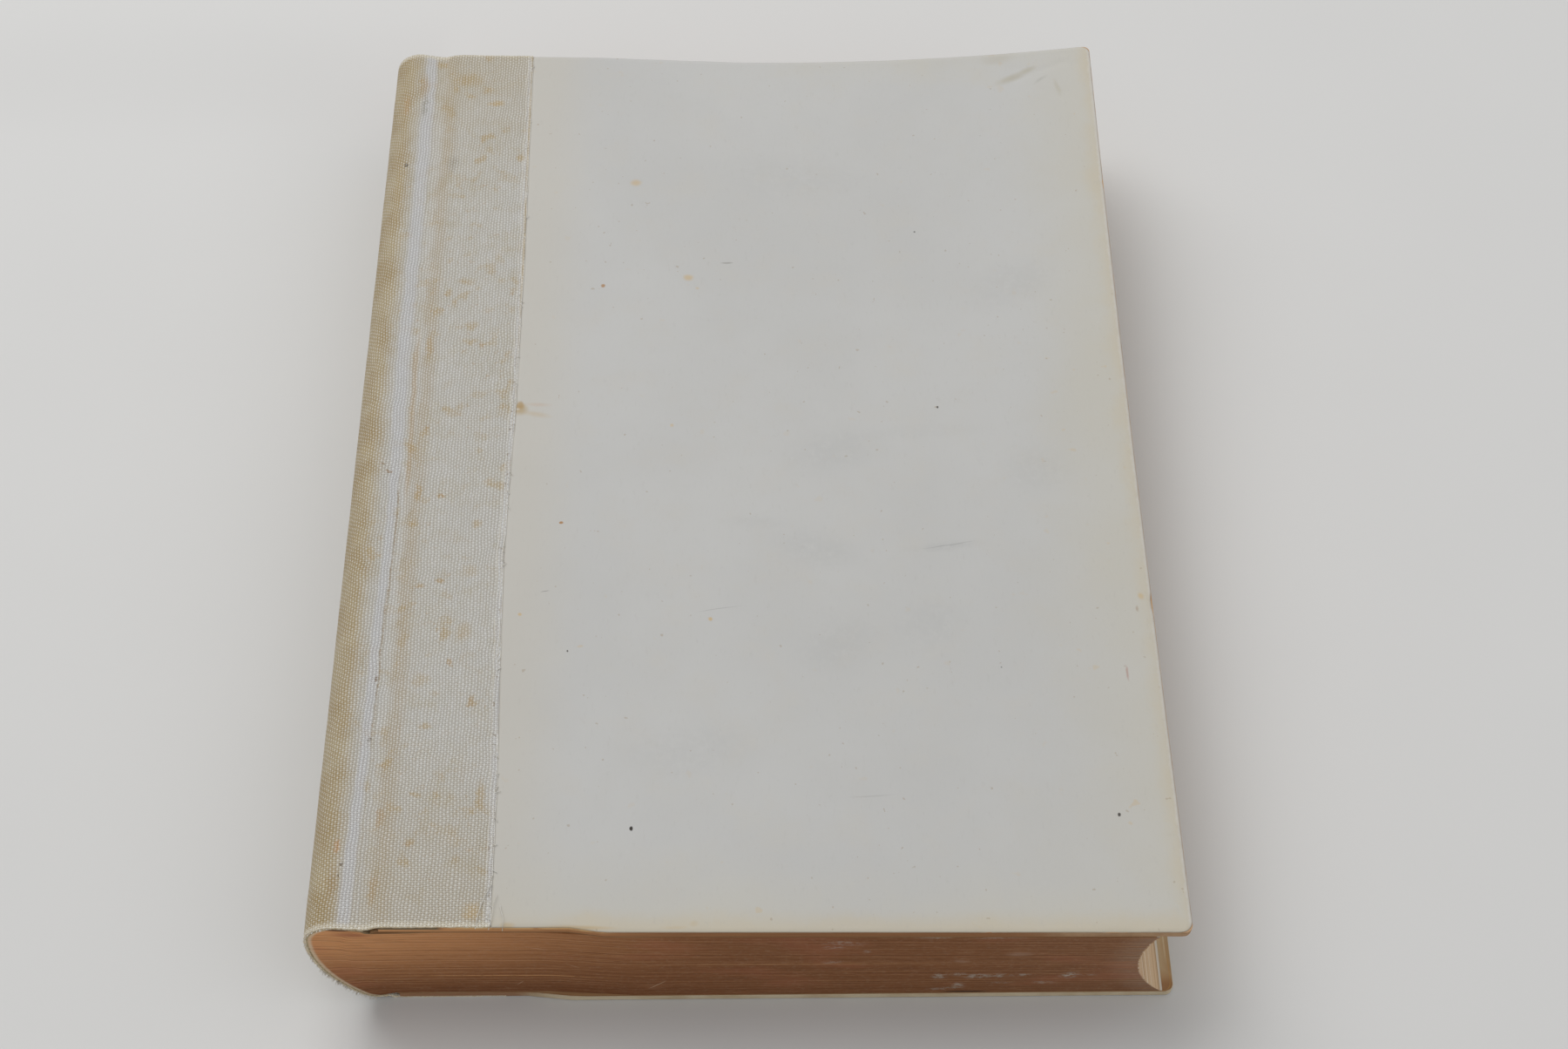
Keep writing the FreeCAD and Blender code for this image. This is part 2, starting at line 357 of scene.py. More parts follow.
def lengths(line):
    return np.concatenate([[0], np.cumsum(np.linalg.norm(np.diff(line, axis=0), axis=1))])


def at_length(line, run):
    """Points at these lengths along a line, and the line's direction there."""
    so_far = lengths(line)
    point = np.column_stack([np.interp(run, so_far, line[:, k]) for k in (0, 1)])
    nearby = 0.05
    ends = [
        np.column_stack([np.interp(run + d, so_far, line[:, k]) for k in (0, 1)])
        for d in (-nearby, nearby)
    ]
    direction = ends[1] - ends[0]
    return point, direction / np.linalg.norm(direction, axis=1)[:, None]


def towards(start, end):
    return math.degrees(math.atan2(end[1] - start[1], end[0] - start[0])) % 360


print("a quarter of a circle is", round(lengths(arc((0, 0), 1, 0, 90))[-1], 3), "radii long")

# %% [markdown]
# The shoulders are two small circles that touch the large circle of the back from inside. Its
# centre is therefore as far from each of theirs as their radii differ, and it lies where two
# such circles cross. The arcs meet on the lines through the centres.

# %% Place the circles of the back
front_shoulder = front_hinge[[0, 2]] - (
    front_shoulder_from_joint,
    turn_gap + front_shoulder_round,
)
back_shoulder = back_hinge[[0, 2]] + (
    -back_shoulder_from_joint,
    turn_gap + back_shoulder_round,
)
to_front = back_round - front_shoulder_round
to_back = back_round - back_shoulder_round
between = back_shoulder - front_shoulder
span = np.linalg.norm(between)
ahead = (to_front**2 - to_back**2 + span**2) / (2 * span)
aside = math.sqrt(to_front**2 - ahead**2)
spine_centre = (
    front_shoulder + between / span * ahead + np.array([-between[1], between[0]]) / span * aside
)
front_meet = towards(spine_centre, front_shoulder)
back_meet = towards(spine_centre, back_shoulder)
front_crest, back_crest = 90 - front_fall_deg, 270 + back_fall_deg
front_fall, back_fall = (math.tan(math.radians(a)) for a in (front_fall_deg, back_fall_deg))
print("spine centre", np.round(spine_centre, 2), "meets at", round(front_meet), round(back_meet))

# %% [markdown]
# ## Places on the covers
#
# A piece of a cover is laid out flat first: x from the hinge line, y from the tail and the
# depth below the cloth's outer face. These functions then carry it onto the book. The front
# cover slopes a little, and its far corner curls up along a diagonal, as boards do when they
# have dried unevenly. The back cover lies flat on the table, upside down.


# %% Carry points onto the covers
def lift(x, y, height):
    """How high a point of the front cover lies, over the outer face of its board laid flat."""
    along = (
        (x - front_board_right) * math.cos(lift_direction)
        + (y - book_height) * math.sin(lift_direction)
        + lift_reach
    )
    run = np.clip(along, 0, None)
    return lift_radius - np.sqrt((lift_radius - height) ** 2 - run**2)


def on_front(x, y, depth, lifted=True):
    height = cloth_proud - depth
    flat = (lift(x, y, height) if lifted else height) - cloth_proud
    return np.column_stack(
        [
            front_hinge[0] + x * math.cos(front_slope) + flat * math.sin(front_slope),
            tail_y + y,
            front_hinge[2] - x * math.sin(front_slope) + flat * math.cos(front_slope),
        ]
    )


def on_back(x, y, depth):
    return np.column_stack([back_hinge[0] + x, tail_y + y, depth + 0 * x])


far_corner = np.array([front_board_right]), np.array([book_height])
far_place = on_front(*far_corner, cloth_proud - paper_thick)[0]
print("the front corner stands", round(far_place[2], 1), "mm high")

# %% [markdown]
# The edges aren't straight. The tail and the head are stepped beside the spine, and the linen
# was torn along a thread, so its edge wavers by up to a millimetre on its way up the board.


# %% Follow the uneven edges
def setback(x, start, end):
    """How much shorter the tail was trimmed beside the spine; x is in the book's frame."""
    return tail_setback * np.clip((end - (x - front_hinge[0])) / (end - start), 0, 1)


def head_edge(x):
    """Where the head ends, over the tail. It reaches further out beside the spine."""
    start, end = 34.0, 66.0
    share = np.clip((end - (x - front_hinge[0])) / (end - start), 0, 1)
    return book_height + head_reach * share


edge_waves = [
    (0, 0.0),
    (25, 0.0),
    (47, -0.45),
    (75, -0.9),
    (95, -0.5),
    (112, 0.0),
    (151, 0.25),
    (185, 0.1),
    (211, 0.0),
]


def cloth_edge(joint_width, y):
    """Where the linen ends on a board, x from the hinge line."""
    on_board = cloth_on_board_tail + (cloth_on_board_head - cloth_on_board_tail) * y / book_height
    waves = np.interp(y, *zip(*edge_waves))
    return joint_width + on_board + waves


print("covers reach", round(front_board_right, 1), "and", round(back_board_right, 1), "mm")

# %% [markdown]
# ## Shader helpers
#
# A procedural material is arithmetic on the surface's coordinates. `Term` wraps one output of a
# node, and adding or multiplying two terms adds the Math node that does it, so a pattern reads
# like a formula.


# %% Write shader maths as expressions
class Term:
    """A value on its way through a material's nodes."""

    def __init__(self, finish, socket):
        self.finish, self.socket = finish, socket

    def maths(self, operation, *others):
        inputs = dict(enumerate((self, *others)))
        return self.finish.node("ShaderNodeMath", {"operation": operation}, inputs)

    def __add__(self, other):
        return self.maths("ADD", other)

    def __mul__(self, other):
        return self.maths("MULTIPLY", other)

    def __sub__(self, other):
        return self.maths("SUBTRACT", other)

    def __rsub__(self, other):
        inputs = {0: other, 1: self}
        return self.finish.node("ShaderNodeMath", {"operation": "SUBTRACT"}, inputs)

    def __truediv__(self, other):
        return self.maths("DIVIDE", other)

    def __abs__(self):
        return self.maths("ABSOLUTE")

    __radd__ = __add__
    __rmul__ = __mul__

    def sine(self):
        return self.maths("SINE")

    def most(self, other):
        return self.maths("MAXIMUM", other)

    def least(self, other):
        return self.maths("MINIMUM", other)

    def rise(self, start, end):
        """Grows smoothly from 0 at start to 1 at end, and shrinks where start is the larger."""
        low, high = min(start, end), max(start, end)
        settings = {"interpolation_type": "SMOOTHSTEP"}
        inputs = {"Value": self, "From Min": low, "From Max": high}
        grown = self.finish.node("ShaderNodeMapRange", settings, inputs)
        return grown if start < end else 1 - grown


print("terms add, subtract, multiply and divide")

# %% [markdown]
# Colours are read off the photograph as numbers from 0 to 255, and the shader wants them on its
# linear scale. `Finish` is a material under construction. Its `node` method makes any node, its
# settings first and then the values or links of its sockets. Its colour is built up in thin
# coats, as a restorer would: `tint` lays one over the whole, and `marks` lays on a list of
# spots, each at its own place.


# %% Build a material in coats
def paint(red, green, blue):
    """A colour as it is read off a photograph, from 0 to 255, in the shader's linear scale."""
    linear = [
        c / 255 / 12.92 if c <= 10 else ((c / 255 + 0.055) / 1.055) ** 2.4
        for c in (red, green, blue)
    ]
    return (*linear, 1)


class Finish:
    """A material, and the nodes that make it."""

    def __init__(self, name, base=None):
        self.material = bpy.data.materials.new(name)
        self.material.use_nodes = True
        self.tree = self.material.node_tree
        self.tree.nodes.clear()
        self.place = self.node("ShaderNodeTexCoord", output="Object")
        self.colour = paint(*base) if base else None

    def node(self, kind, settings=None, inputs=None, output=0):
        made = self.tree.nodes.new(kind)
        for name, value in (settings or {}).items():
            setattr(made, name, value)
        for name, value in (inputs or {}).items():
            if isinstance(value, Term):
                self.tree.links.new(value.socket, made.inputs[name])
            else:
                made.inputs[name].default_value = value
        return Term(self, made.outputs[output])

    def value(self, name):
        """A number that is kept on the piece's points."""
        return self.node("ShaderNodeAttribute", {"attribute_name": name}, output="Fac")

    def split(self, vector):
        made = self.node("ShaderNodeSeparateXYZ", None, {0: vector})
        node = made.socket.node
        return [Term(self, node.outputs[k]) for k in range(3)]

    def join(self, x, y, z):
        return self.node("ShaderNodeCombineXYZ", None, {0: x, 1: y, 2: z})

    def shifted(self, vector, x, y):
        """The vector moved by two varying lengths, which breaks up the outline of a mark."""
        inputs = {0: vector, 1: self.join(x, y, 0)}
        return self.node("ShaderNodeVectorMath", {"operation": "ADD"}, inputs)

    def flat(self):
        """Place on the flat sheet: across and along it in millimetres, and as a vector."""
        sheet = self.node("ShaderNodeUVMap", {"uv_map": "flat"})
        across, along, _ = self.split(sheet)
        return across * 1000, along * 1000, sheet

    def cloud(self, vector, size, detail=2.0, roughness=0.5, stretch=(1, 1, 1)):
        """Noise from 0 to 1 with lumps of a size in millimetres, drawn out along the axes."""
        scale = [1000 / (size * s) for s in stretch]
        scaled = self.node(
            "ShaderNodeVectorMath", {"operation": "MULTIPLY"}, {0: vector, 1: scale}
        )
        settings = {"noise_dimensions": "3D"}
        inputs = {"Vector": scaled, "Scale": 1.0, "Detail": detail, "Roughness": roughness}
        return self.node("ShaderNodeTexNoise", settings, inputs)

    def mix(self, factor, first, second):
        """Two colours mixed by a factor."""
        inputs = {0: factor, 6: first, 7: second}
        return self.node("ShaderNodeMix", {"data_type": "RGBA"}, inputs, 2)

    def tint(self, factor, colour):
        """Lays a coat over what is there: a mixed colour, or one read off the photograph."""
        coat = colour if isinstance(colour, Term) else paint(*colour)
        self.colour = self.mix(factor, self.colour, coat)

    def spot(self, vector, centre, size, turn_deg, soft):
        """A mark at a place in millimetres: 1 in its middle, 0 outside its half-widths."""
        inputs = {
            "Vector": vector,
            "Location": [c * MM for c in centre] + [0],
            "Rotation": (0, 0, math.radians(turn_deg)),
            "Scale": (size[0] * MM, size[1] * MM, 1),
        }
        moved = self.node("ShaderNodeMapping", {"vector_type": "TEXTURE"}, inputs)
        level = self.node(
            "ShaderNodeVectorMath", {"operation": "MULTIPLY"}, {0: moved, 1: (1, 1, 0)}
        )
        away = self.node("ShaderNodeVectorMath", {"operation": "LENGTH"}, {0: level}, "Value")
        return away.rise(1.0, 1 - soft)

    def marks(self, vector, rows, by=1.0, tint=None, soft=None):
        """Lays on marks: centre, half-widths, turn, strength, and maybe a colour and softness."""
        for centre, size, turn, strength, *own in rows:
            own_tint, own_soft = own or (tint, soft)
            mark = self.spot(vector, centre, size, turn, own_soft) * by
            self.tint(mark.least(1.0) * strength, own_tint)

    def done(self, roughness, shine, height=None, distance=0.0001, strength=1.0, sheen=0.0):
        """Ends the material in a Principled shader, with a height pattern as its bumps."""
        inputs = {
            "Base Color": self.colour,
            "Roughness": roughness,
            "Specular IOR Level": shine,
            "Sheen Weight": sheen,
        }
        if height is not None:
            bump = {"Height": height, "Distance": distance, "Strength": strength}
            inputs["Normal"] = self.node("ShaderNodeBump", None, bump)
        shader = self.node("ShaderNodeBsdfPrincipled", None, inputs)
        end = self.tree.nodes.new("ShaderNodeOutputMaterial")
        self.tree.links.new(shader.socket, end.inputs[0])
        print("material", self.material.name, "has", len(self.tree.nodes), "nodes")
        return self.material


def dress(piece, material):
    piece.data.materials.clear()
    piece.data.materials.append(material)


# %% [markdown]
# ## The leaves
#
# The leaves are one block. Its section is a grid between four lines: the rounded back, the
# hollow fore-edge, and the top and bottom leaf. Every row of that grid is a small bundle of
# leaves, so when each row is set in or out by a few hundredths of a millimetre, the cut edges
# show fine steps that really catch the light. A stored value says how far up the pile a point
# is, and the material draws its page lines along it.

# %% Outline the leaves
block_inset = cloth_thick + lining_thick
inner_front, inner_back = front_shoulder_round - block_inset, back_shoulder_round - block_inset
low_leaf = (
    front_hinge[2]
    - block_top_depth / math.cos(front_slope)
    - front_joint_width * math.tan(front_slope)
    - joint_relief
)
front_crest_point = arc(front_shoulder, inner_front, front_crest, front_crest, 1)[0]
back_crest_point = arc(back_shoulder, inner_back, back_crest, back_crest, 1)[0]


def block_top(x):
    """Height of the top leaf over the table, x from the front hinge line."""
    return (
        front_hinge[2] - block_top_depth / math.cos(front_slope) - x * math.tan(front_slope)
    )


leaf_right_top = front_board_right - front_square
leaf_right_bottom = back_board_right - back_square
top_right = (front_hinge[0] + leaf_right_top, block_top(leaf_right_top))
bottom_right = (back_hinge[0] + leaf_right_bottom, block_bottom)
front_drop = (front_hinge[0] - front_crest_point[0]) * front_fall
top_line = np.vstack(
    [
        arc(front_shoulder, inner_front, 90, front_crest, 6),
        (front_hinge[0], front_crest_point[1] - front_drop),
        (front_hinge[0] + joint_relief_start, low_leaf),
        (front_hinge[0] + joint_relief_width, block_top(joint_relief_width)),
        top_right,
    ]
)
bottom_line = np.vstack(
    [
        arc(back_shoulder, inner_back, 270, back_crest, 6),
        (back_crest_point[0] + (block_bottom - back_crest_point[1]) / back_fall, block_bottom),
        bottom_right,
    ]
)
back_outline = np.vstack(
    [
        arc(back_shoulder, inner_back, 270, back_meet),
        arc(spine_centre, back_round - block_inset, back_meet, front_meet)[1:],
        arc(front_shoulder, inner_front, front_meet, 90)[1:],
    ]
)
chord = np.array(top_right) - bottom_right
half_chord = np.linalg.norm(chord) / 2
inward = np.array([-chord[1], chord[0]]) / (2 * half_chord)
hollow_radius = (half_chord**2 + fore_edge_hollow**2) / (2 * fore_edge_hollow)
hollow_centre = (np.array(top_right) + bottom_right) / 2 - inward * (
    hollow_radius - fore_edge_hollow
)
hollow_line = arc(
    hollow_centre,
    hollow_radius,
    towards(hollow_centre, bottom_right),
    towards(hollow_centre, top_right),
)

print("the leaves are", round(top_right[0] - back_outline[:, 0].min(), 1), "mm wide")

# %% [markdown]
# The space between the four lines is filled by blending each pair of opposite lines and taking
# the corners away, which both pairs have counted. The rows differ a little in height, as
# bundles of leaves do, and the columns crowd together at both ends, where the surface bends.

# %% Fill the outline with rows
leaf_rows, leaf_columns, leaf_lengths = 132, 58, 58
leaves = unit_block("leaves", (leaf_columns, leaf_lengths, leaf_rows))
unit = points_of(leaves)
chance = np.random.default_rng(5)
row_steps = chance.uniform(0.6, 1.4, leaf_rows)
row_places = np.concatenate([[0], np.cumsum(row_steps)]) / row_steps.sum()
s, t = unit[:, 0], spaced(unit[:, 2], row_places)
column_places = stations((0.06, 8), (0.9, 34), (0.04, 16))
s = spaced(s, column_places)
row = np.rint(unit[:, 2] * leaf_rows).astype(int)


def share_of(line, share):
    return at_length(line, share * lengths(line)[-1])[0]


sides = [share_of(line, v) for line, v in ((back_outline, t), (hollow_line, t))]
ends = [share_of(line, v) for line, v in ((bottom_line, s), (top_line, s))]
corners = [bottom_line[0], bottom_line[-1], top_line[0], top_line[-1]]
S, T = s[:, None], t[:, None]
section = (
    (1 - S) * sides[0]
    + S * sides[1]
    + (1 - T) * ends[0]
    + T * ends[1]
    - (1 - S) * (1 - T) * corners[0]
    - S * (1 - T) * corners[1]
    - (1 - S) * T * corners[2]
    - S * T * corners[3]
)
print("leaves in", leaf_rows, "rows and", leaf_columns, "columns")

# %% [markdown]
# Each row is then set in or out at the tail, the head and the fore-edge: by itself, and with
# its gathering of nine rows. A slow noise makes the steps weaker and stronger along the edge.
# The value that says how far up the pile a point is sags a little towards the fore-edge.

# %% Set the rows in and out
section_steps = chance.normal(0, 1, (3, leaf_rows + 1))
gathering = 9
end_step, fore_step = 0.045, 0.16
gather_steps = np.repeat(chance.uniform(0, 1, (3, leaf_rows // gathering + 2)), gathering, axis=1)
steps = 0.5 + 0.16 * np.clip(section_steps, -2, 2) + 0.35 * (gather_steps[:, : leaf_rows + 1] - 0.5)
steps = np.clip(steps, 0, 1)
places = np.column_stack([section[:, 0], tail_y + unit[:, 1] * book_height, section[:, 1]])
head = tail_y + head_edge(places[:, 0])
waver = rough(np.column_stack([places[:, :2], row * 3.0]), 40, seed=2, octaves=2)
tail_relief = end_step * steps[0][row] * (1 + 0.6 * waver)
head_relief = end_step * steps[1][row] * (1 + 0.6 * waver)
fore_relief = fore_step * steps[2][row] * (1 + 0.9 * waver)
inside = np.sin(np.pi * t) ** 0.25
cut = setback(places[:, 0], *leaves_step_ends)
at_tail, at_head, at_fore = unit[:, 1] < 1e-6, unit[:, 1] > 1 - 1e-6, unit[:, 0] > 1 - 1e-6
places[:, 1] = np.where(at_tail, tail_y + cut + tail_relief, places[:, 1])
places[:, 1] = np.where(at_head, head - head_relief, places[:, 1])
places[:, 0] -= np.where(at_fore, fore_relief * inside, 0)
put(leaves, places)
droop = 0.018 * ease(s, 0.90, 1.0) * np.sin(np.pi * t)
keep_value(leaves, "leaf", t + droop)
keep_value(leaves, "outward", s)
turn_outwards(leaves)
smooth(leaves, 32)
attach(leaves, "text_block")
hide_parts("text_block")
print("leaves", len(leaves.data.polygons), "faces")

# %% [markdown]
# ## What browned leaves look like
#
# Light and air turn the cut edges of old paper brown. The boards were trimmed together with the
# leaves, so one function colours the cut of both: orange beside the spine and at the top, dark
# brown towards the fore-edge. Fine straight lines run along the leaves. They are noise with one
# dimension, read along the pile, and a second, cloudy noise lets them fade in and out. The pale
# grey scuffs are rubbed-off paper, each a mark at its place.


# %% Mix the browns of the cut
def browned_cut(finish, x, z):
    """The brown of the cut, lighter towards the spine and the top."""
    bright = x.rise(0.012, -0.090) * z.rise(0.000, 0.029)
    middle = finish.mix(x.rise(-0.030, 0.016), paint(128, 80, 47), paint(136, 89, 55))
    middle = finish.mix(x.rise(0.030, 0.066), middle, paint(140, 96, 65))
    return finish.mix(bright, middle, paint(232, 166, 110))


def leaf_lines(count, detail):
    """Straight lines along the leaves, about so many in the pile."""
    settings = {"noise_dimensions": "1D"}
    inputs = {"W": leaf * count, "Scale": 1.0, "Detail": detail, "Roughness": 0.7}
    return pages.node("ShaderNodeTexNoise", settings, inputs)


pages = Finish("browned leaf edges")
leaf, outward = pages.value("leaf"), pages.value("outward")
x, y, z = pages.split(pages.place)
fine_lines, broad_lines, fore_lines = leaf_lines(62, 4.0), leaf_lines(17, 2.0), leaf_lines(30, 3.0)
fibrous = pages.cloud(pages.place, 0.42, 3.0, 0.65, (12, 12, 1))
fuzz = pages.cloud(pages.place, 0.55, 3.0, 0.7, (1.7, 1.7, 1))
pages.colour = browned_cut(pages, x, z)
# Painted shade: the head end is darkened, to temper the stronger light that falls on it.
pages.tint(y.rise(0.02, 0.09) * 0.35, (140, 98, 68))
dusty = outward.rise(0.948, 0.998) * fibrous.rise(0.25, 0.65)
pages.tint(dusty * 0.55, (176, 152, 130))
fore_colour = pages.mix(leaf.rise(0.15, 0.8), paint(224, 194, 158), paint(196, 160, 124))
fore_colour = pages.mix(fore_lines.rise(0.52, 0.66) * 0.7, fore_colour, paint(160, 118, 82))
fore_colour = pages.mix(fore_lines.rise(0.46, 0.36) * 0.8, fore_colour, paint(242, 230, 212))
to_fore = outward.rise(0.9972, 0.9995)
pages.tint(to_fore, fore_colour)
print("the cut is browned with", len(pages.tree.nodes), "nodes so far")

# %% [markdown]
# Over these browns lie the lines between the leaves, dark and light, that fade in and out along
# the book. The fibres of the cut give it a nap, and beside the spine a narrow pale band shows
# where glue has soaked in.

# %% Draw the leaves' lines
on_cut = 1 - to_fore * 0.8
fading = pages.cloud(pages.place, 24, 3.0, 0.6, (1, 1, 0.12))
fading_too = pages.cloud(pages.place, 11, 3.0, 0.6, (1.6, 1, 0.1))
pages.tint(broad_lines.rise(0.52, 0.68) * fading.rise(0.3, 0.6) * 0.096, (70, 38, 22))
dark_line = fine_lines.rise(0.51, 0.64) * (0.3 + fading_too)
pages.tint(dark_line * on_cut * 0.42, (76, 40, 22))
light_line = fine_lines.rise(0.47, 0.34) * (0.25 + fading)
pages.tint(light_line * on_cut * 0.36, (214, 162, 118))
pages.tint(fibrous.rise(0.50, 0.72) * on_cut * 0.24, (92, 54, 32))
pages.tint(fibrous.rise(0.48, 0.30) * on_cut * 0.20, (206, 158, 118))
pages.tint(fuzz.rise(0.48, 0.72) * on_cut * 0.12, (196, 168, 142))
reddish = pages.cloud(pages.place, 9, 2.0, 0.5, (2.2, 1, 0.7))
pages.tint(reddish.rise(0.52, 0.72) * 0.20, (186, 112, 86))
glued = outward.rise(0.0062, 0.0022) * (0.4 + fuzz * 0.8)
pages.tint(glued.least(1.0) * 0.85, (226, 208, 178))
print("lines drawn, nodes so far", len(pages.tree.nodes))

# %% [markdown]
# The marks on the tail are lists of places on that face, x along the book's width and z up, in
# millimetres, with their half-widths, their turn and their strength. Each list has its own
# colour and softness, and the same noise breaks up all the scuffs. At the spine a dark line of
# painted shade follows the joint crease, under the linen.

# %% Scuff the tail
on_tail = y.rise(-0.090, -0.100)
tail_face = pages.join(x, z, 0)
ragged = pages.cloud(pages.place, 0.9, 4.0, 0.75, (1.4, 1, 0.8))
torn = pages.cloud(pages.place, 2.2, 3.0, 0.7)
tail_scuffs = [
    ((33.9, 9.4), (1.9, 1.7), 10, 0.85),
    ((37.4, 10.0), (2.6, 1.0), -4, 0.65),
    ((40.6, 9.2), (3.4, 1.4), 2, 0.85),
    ((44.6, 9.4), (3.0, 1.1), 0, 0.8),
    ((48.6, 9.6), (2.6, 0.8), 2, 0.6),
    ((57.1, 9.3), (2.4, 1.7), 12, 0.95),
    ((60.6, 9.4), (2.4, 0.6), 0, 0.45),
    ((52.8, 6.2), (2.8, 1.0), 0, 0.5),
    ((37.6, 5.2), (1.7, 1.9), 20, 0.85),
    ((35.0, 3.9), (4.2, 0.9), 8, 0.5),
    ((45.0, 6.4), (3.0, 0.8), 0, 0.35),
    ((16.2, 23.6), (5.0, 1.4), -6, 0.5),
    ((14.6, 21.8), (2.6, 1.1), 0, 0.45),
    ((14.4, 15.6), (2.4, 1.2), 16, 0.35),
    ((32.4, 25.6), (4.6, 0.8), 0, 0.5),
    ((43.0, 25.2), (6.0, 0.7), 0, 0.4),
    ((20.6, 20.2), (1.1, 0.9), 0, 0.5),
]
soft_ovals = [((47.4, 18.4), (3.4, 1.3), 4, 0.30), ((37.4, 15.6), (2.2, 1.0), -12, 0.24)]
scratches = [
    ((-16.5, 6.6), (2.9, 0.15), 46, 0.7),
    ((-41.0, 6.0), (1.4, 0.14), 52, 0.5),
    ((-31.0, 13.5), (1.6, 0.14), -28, 0.4),
    ((-37.0, 20.5), (2.4, 0.16), -18, 0.4),
]
pale_lines = [((-44, 9.3), (27, 0.16), -0.6, 0.75), ((10, 15.2), (40, 0.14), -0.5, 0.4)]
# Painted shade: a thin near-black line at the foot of the leaves, in the gap above the back
# flyleaf.
gap_shade = ((39.0, 2.5), (5.4, 0.42), 0, 0.85, (36, 26, 20), 0.6)
reddish_foot = ((-68.5, 26.6), (4.6, 1.3), -6, 0.5, (150, 84, 62), 0.8)
joint_crease_shade = ((-70.8, 28.55), (2.8, 0.42), -8, 0.85, (84, 54, 42), 0.5)
scuffed = on_tail * ragged.rise(0.42, 0.60)
pages.marks(tail_face, tail_scuffs, scuffed, tint=(186, 178, 166), soft=0.95)
pages.marks(tail_face, soft_ovals, on_tail, tint=(190, 160, 140), soft=0.9)
pages.marks(tail_face, scratches, on_tail, tint=(214, 180, 150), soft=0.8)
broken = on_tail * torn.rise(0.25, 0.5)
pages.marks(tail_face, pale_lines, broken, tint=(236, 178, 122), soft=0.7)
pages.marks(tail_face, [gap_shade, reddish_foot], on_tail)
# Painted shade: a dark line along the joint crease where the leaves meet the linen, grey-green
# further out.
crease_shade = leaf.rise(0.966, 0.984) * x.rise(-0.0752, -0.0735) * x.rise(-0.0530, -0.0600)
crease_shade_colour = pages.mix(x.rise(-0.0700, -0.0670), paint(92, 48, 34), paint(122, 108, 82))
pages.tint(crease_shade * on_tail * 0.9, crease_shade_colour)
pages.marks(tail_face, [joint_crease_shade], on_tail)
page_height = fine_lines * 0.7 + broad_lines * 0.3 + ragged * 0.2
dress(leaves, pages.done(0.85, 0.2, page_height, 0.00008, 0.6))

# %% [markdown]
# ## Endpapers
#
# Each endpaper is one sheet, folded at the joint: one half is pasted to the board and the other
# is the first loose leaf. It is a single mesh: the pasted half lies on the board and the loose
# half lies on the leaves, with the fold between them.


# %% Curve folds and round corners
def smooth_line(controls, steps=10):
    """A curve through all the control points, without corners."""
    p = np.array(controls, float)
    p = np.vstack([2 * p[0] - p[1], p, 2 * p[-1] - p[-2]])
    made = []
    for k in range(1, len(p) - 2):
        t = np.linspace(0, 1, steps, endpoint=False)[:, None]
        a, b, c, d = p[k - 1 : k + 3]
        made.append(
            0.5 * (2 * b + (c - a) * t + (2 * a - 5 * b + 4 * c - d) * t**2)
            + 0.5 * (3 * b - a - 3 * c + d) * t**3
        )
    return np.vstack([*made, p[-2:-1]])


def worn_right(right_edge, y, corner):
    """The fore-edge of a cover, with both corners worn round to a radius."""
    from_corner = np.minimum(y, book_height - y)
    inside_corner = np.clip(corner - from_corner, 0, corner)
    return right_edge - (corner - np.sqrt(corner**2 - inside_corner**2))


def carry_front(x, y, depth, pasted):
    """Onto the front cover: what is pasted to the board lifts with its corner."""
    lifted = on_front(x, y, depth)
    flat = on_front(x, y, depth, lifted=False)
    return np.where(pasted[:, None], lifted, flat)


def carry_back(x, y, depth, pasted):
    return on_back(x, y, depth)


print("a curve has", len(smooth_line([(0, 0), (1, 0), (1, 1)])), "points")

# %% [markdown]
# One function models both endpapers. Its columns run along the loose leaf, round the fold and
# along the board, and the line's length up to each column gives the UV map of the flat sheet.


# %% Model a folded sheet
def endpaper(name, leaf_line, fold_line, board_right, carry, ends, start, end):
    """A folded sheet: its loose leaf, its fold and the half that is pasted to the board."""
    fold_steps = len(fold_line) - 1
    leaf_steps, board_steps = len(leaf_line) - 1, 46
    columns = leaf_steps + fold_steps + board_steps
    sheet = unit_sheet(name, columns, 60)
    unit = points_of(sheet)
    column = np.rint(unit[:, 0] * columns).astype(int)
    along_board = np.clip((column - leaf_steps - fold_steps) / board_steps, 0, 1)
    y = spaced(unit[:, 1], stations((4, 10), (book_height - 8, 40), (4, 10)))
    line = np.vstack([leaf_line, fold_line[1:]])
    x = line[np.minimum(column, len(line) - 1), 0]
    depth = line[np.minimum(column, len(line) - 1), 1]
    edge = worn_right(board_right, y, board_corner) - 0.1
    x = np.where(along_board > 0, x + along_board * (edge - x), x)
    cut = setback(front_hinge[0] + x, *ends)
    y = cut + 0.05 + y * (head_edge(front_hinge[0] + x) - cut - 0.1) / book_height
    pasted = column > leaf_steps + fold_steps // 2
    put(sheet, carry(x, y, depth, pasted))
    run = np.concatenate([lengths(line), lengths(line)[-1] + np.arange(1, board_steps + 1) * 3])
    lay_out(sheet, run[column], y)
    smooth(sheet, 60)
    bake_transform(sheet)
    thicken(sheet, endpaper_thick, 0)
    return sheet


print("each half of an endpaper is", endpaper_thick, "mm thick")
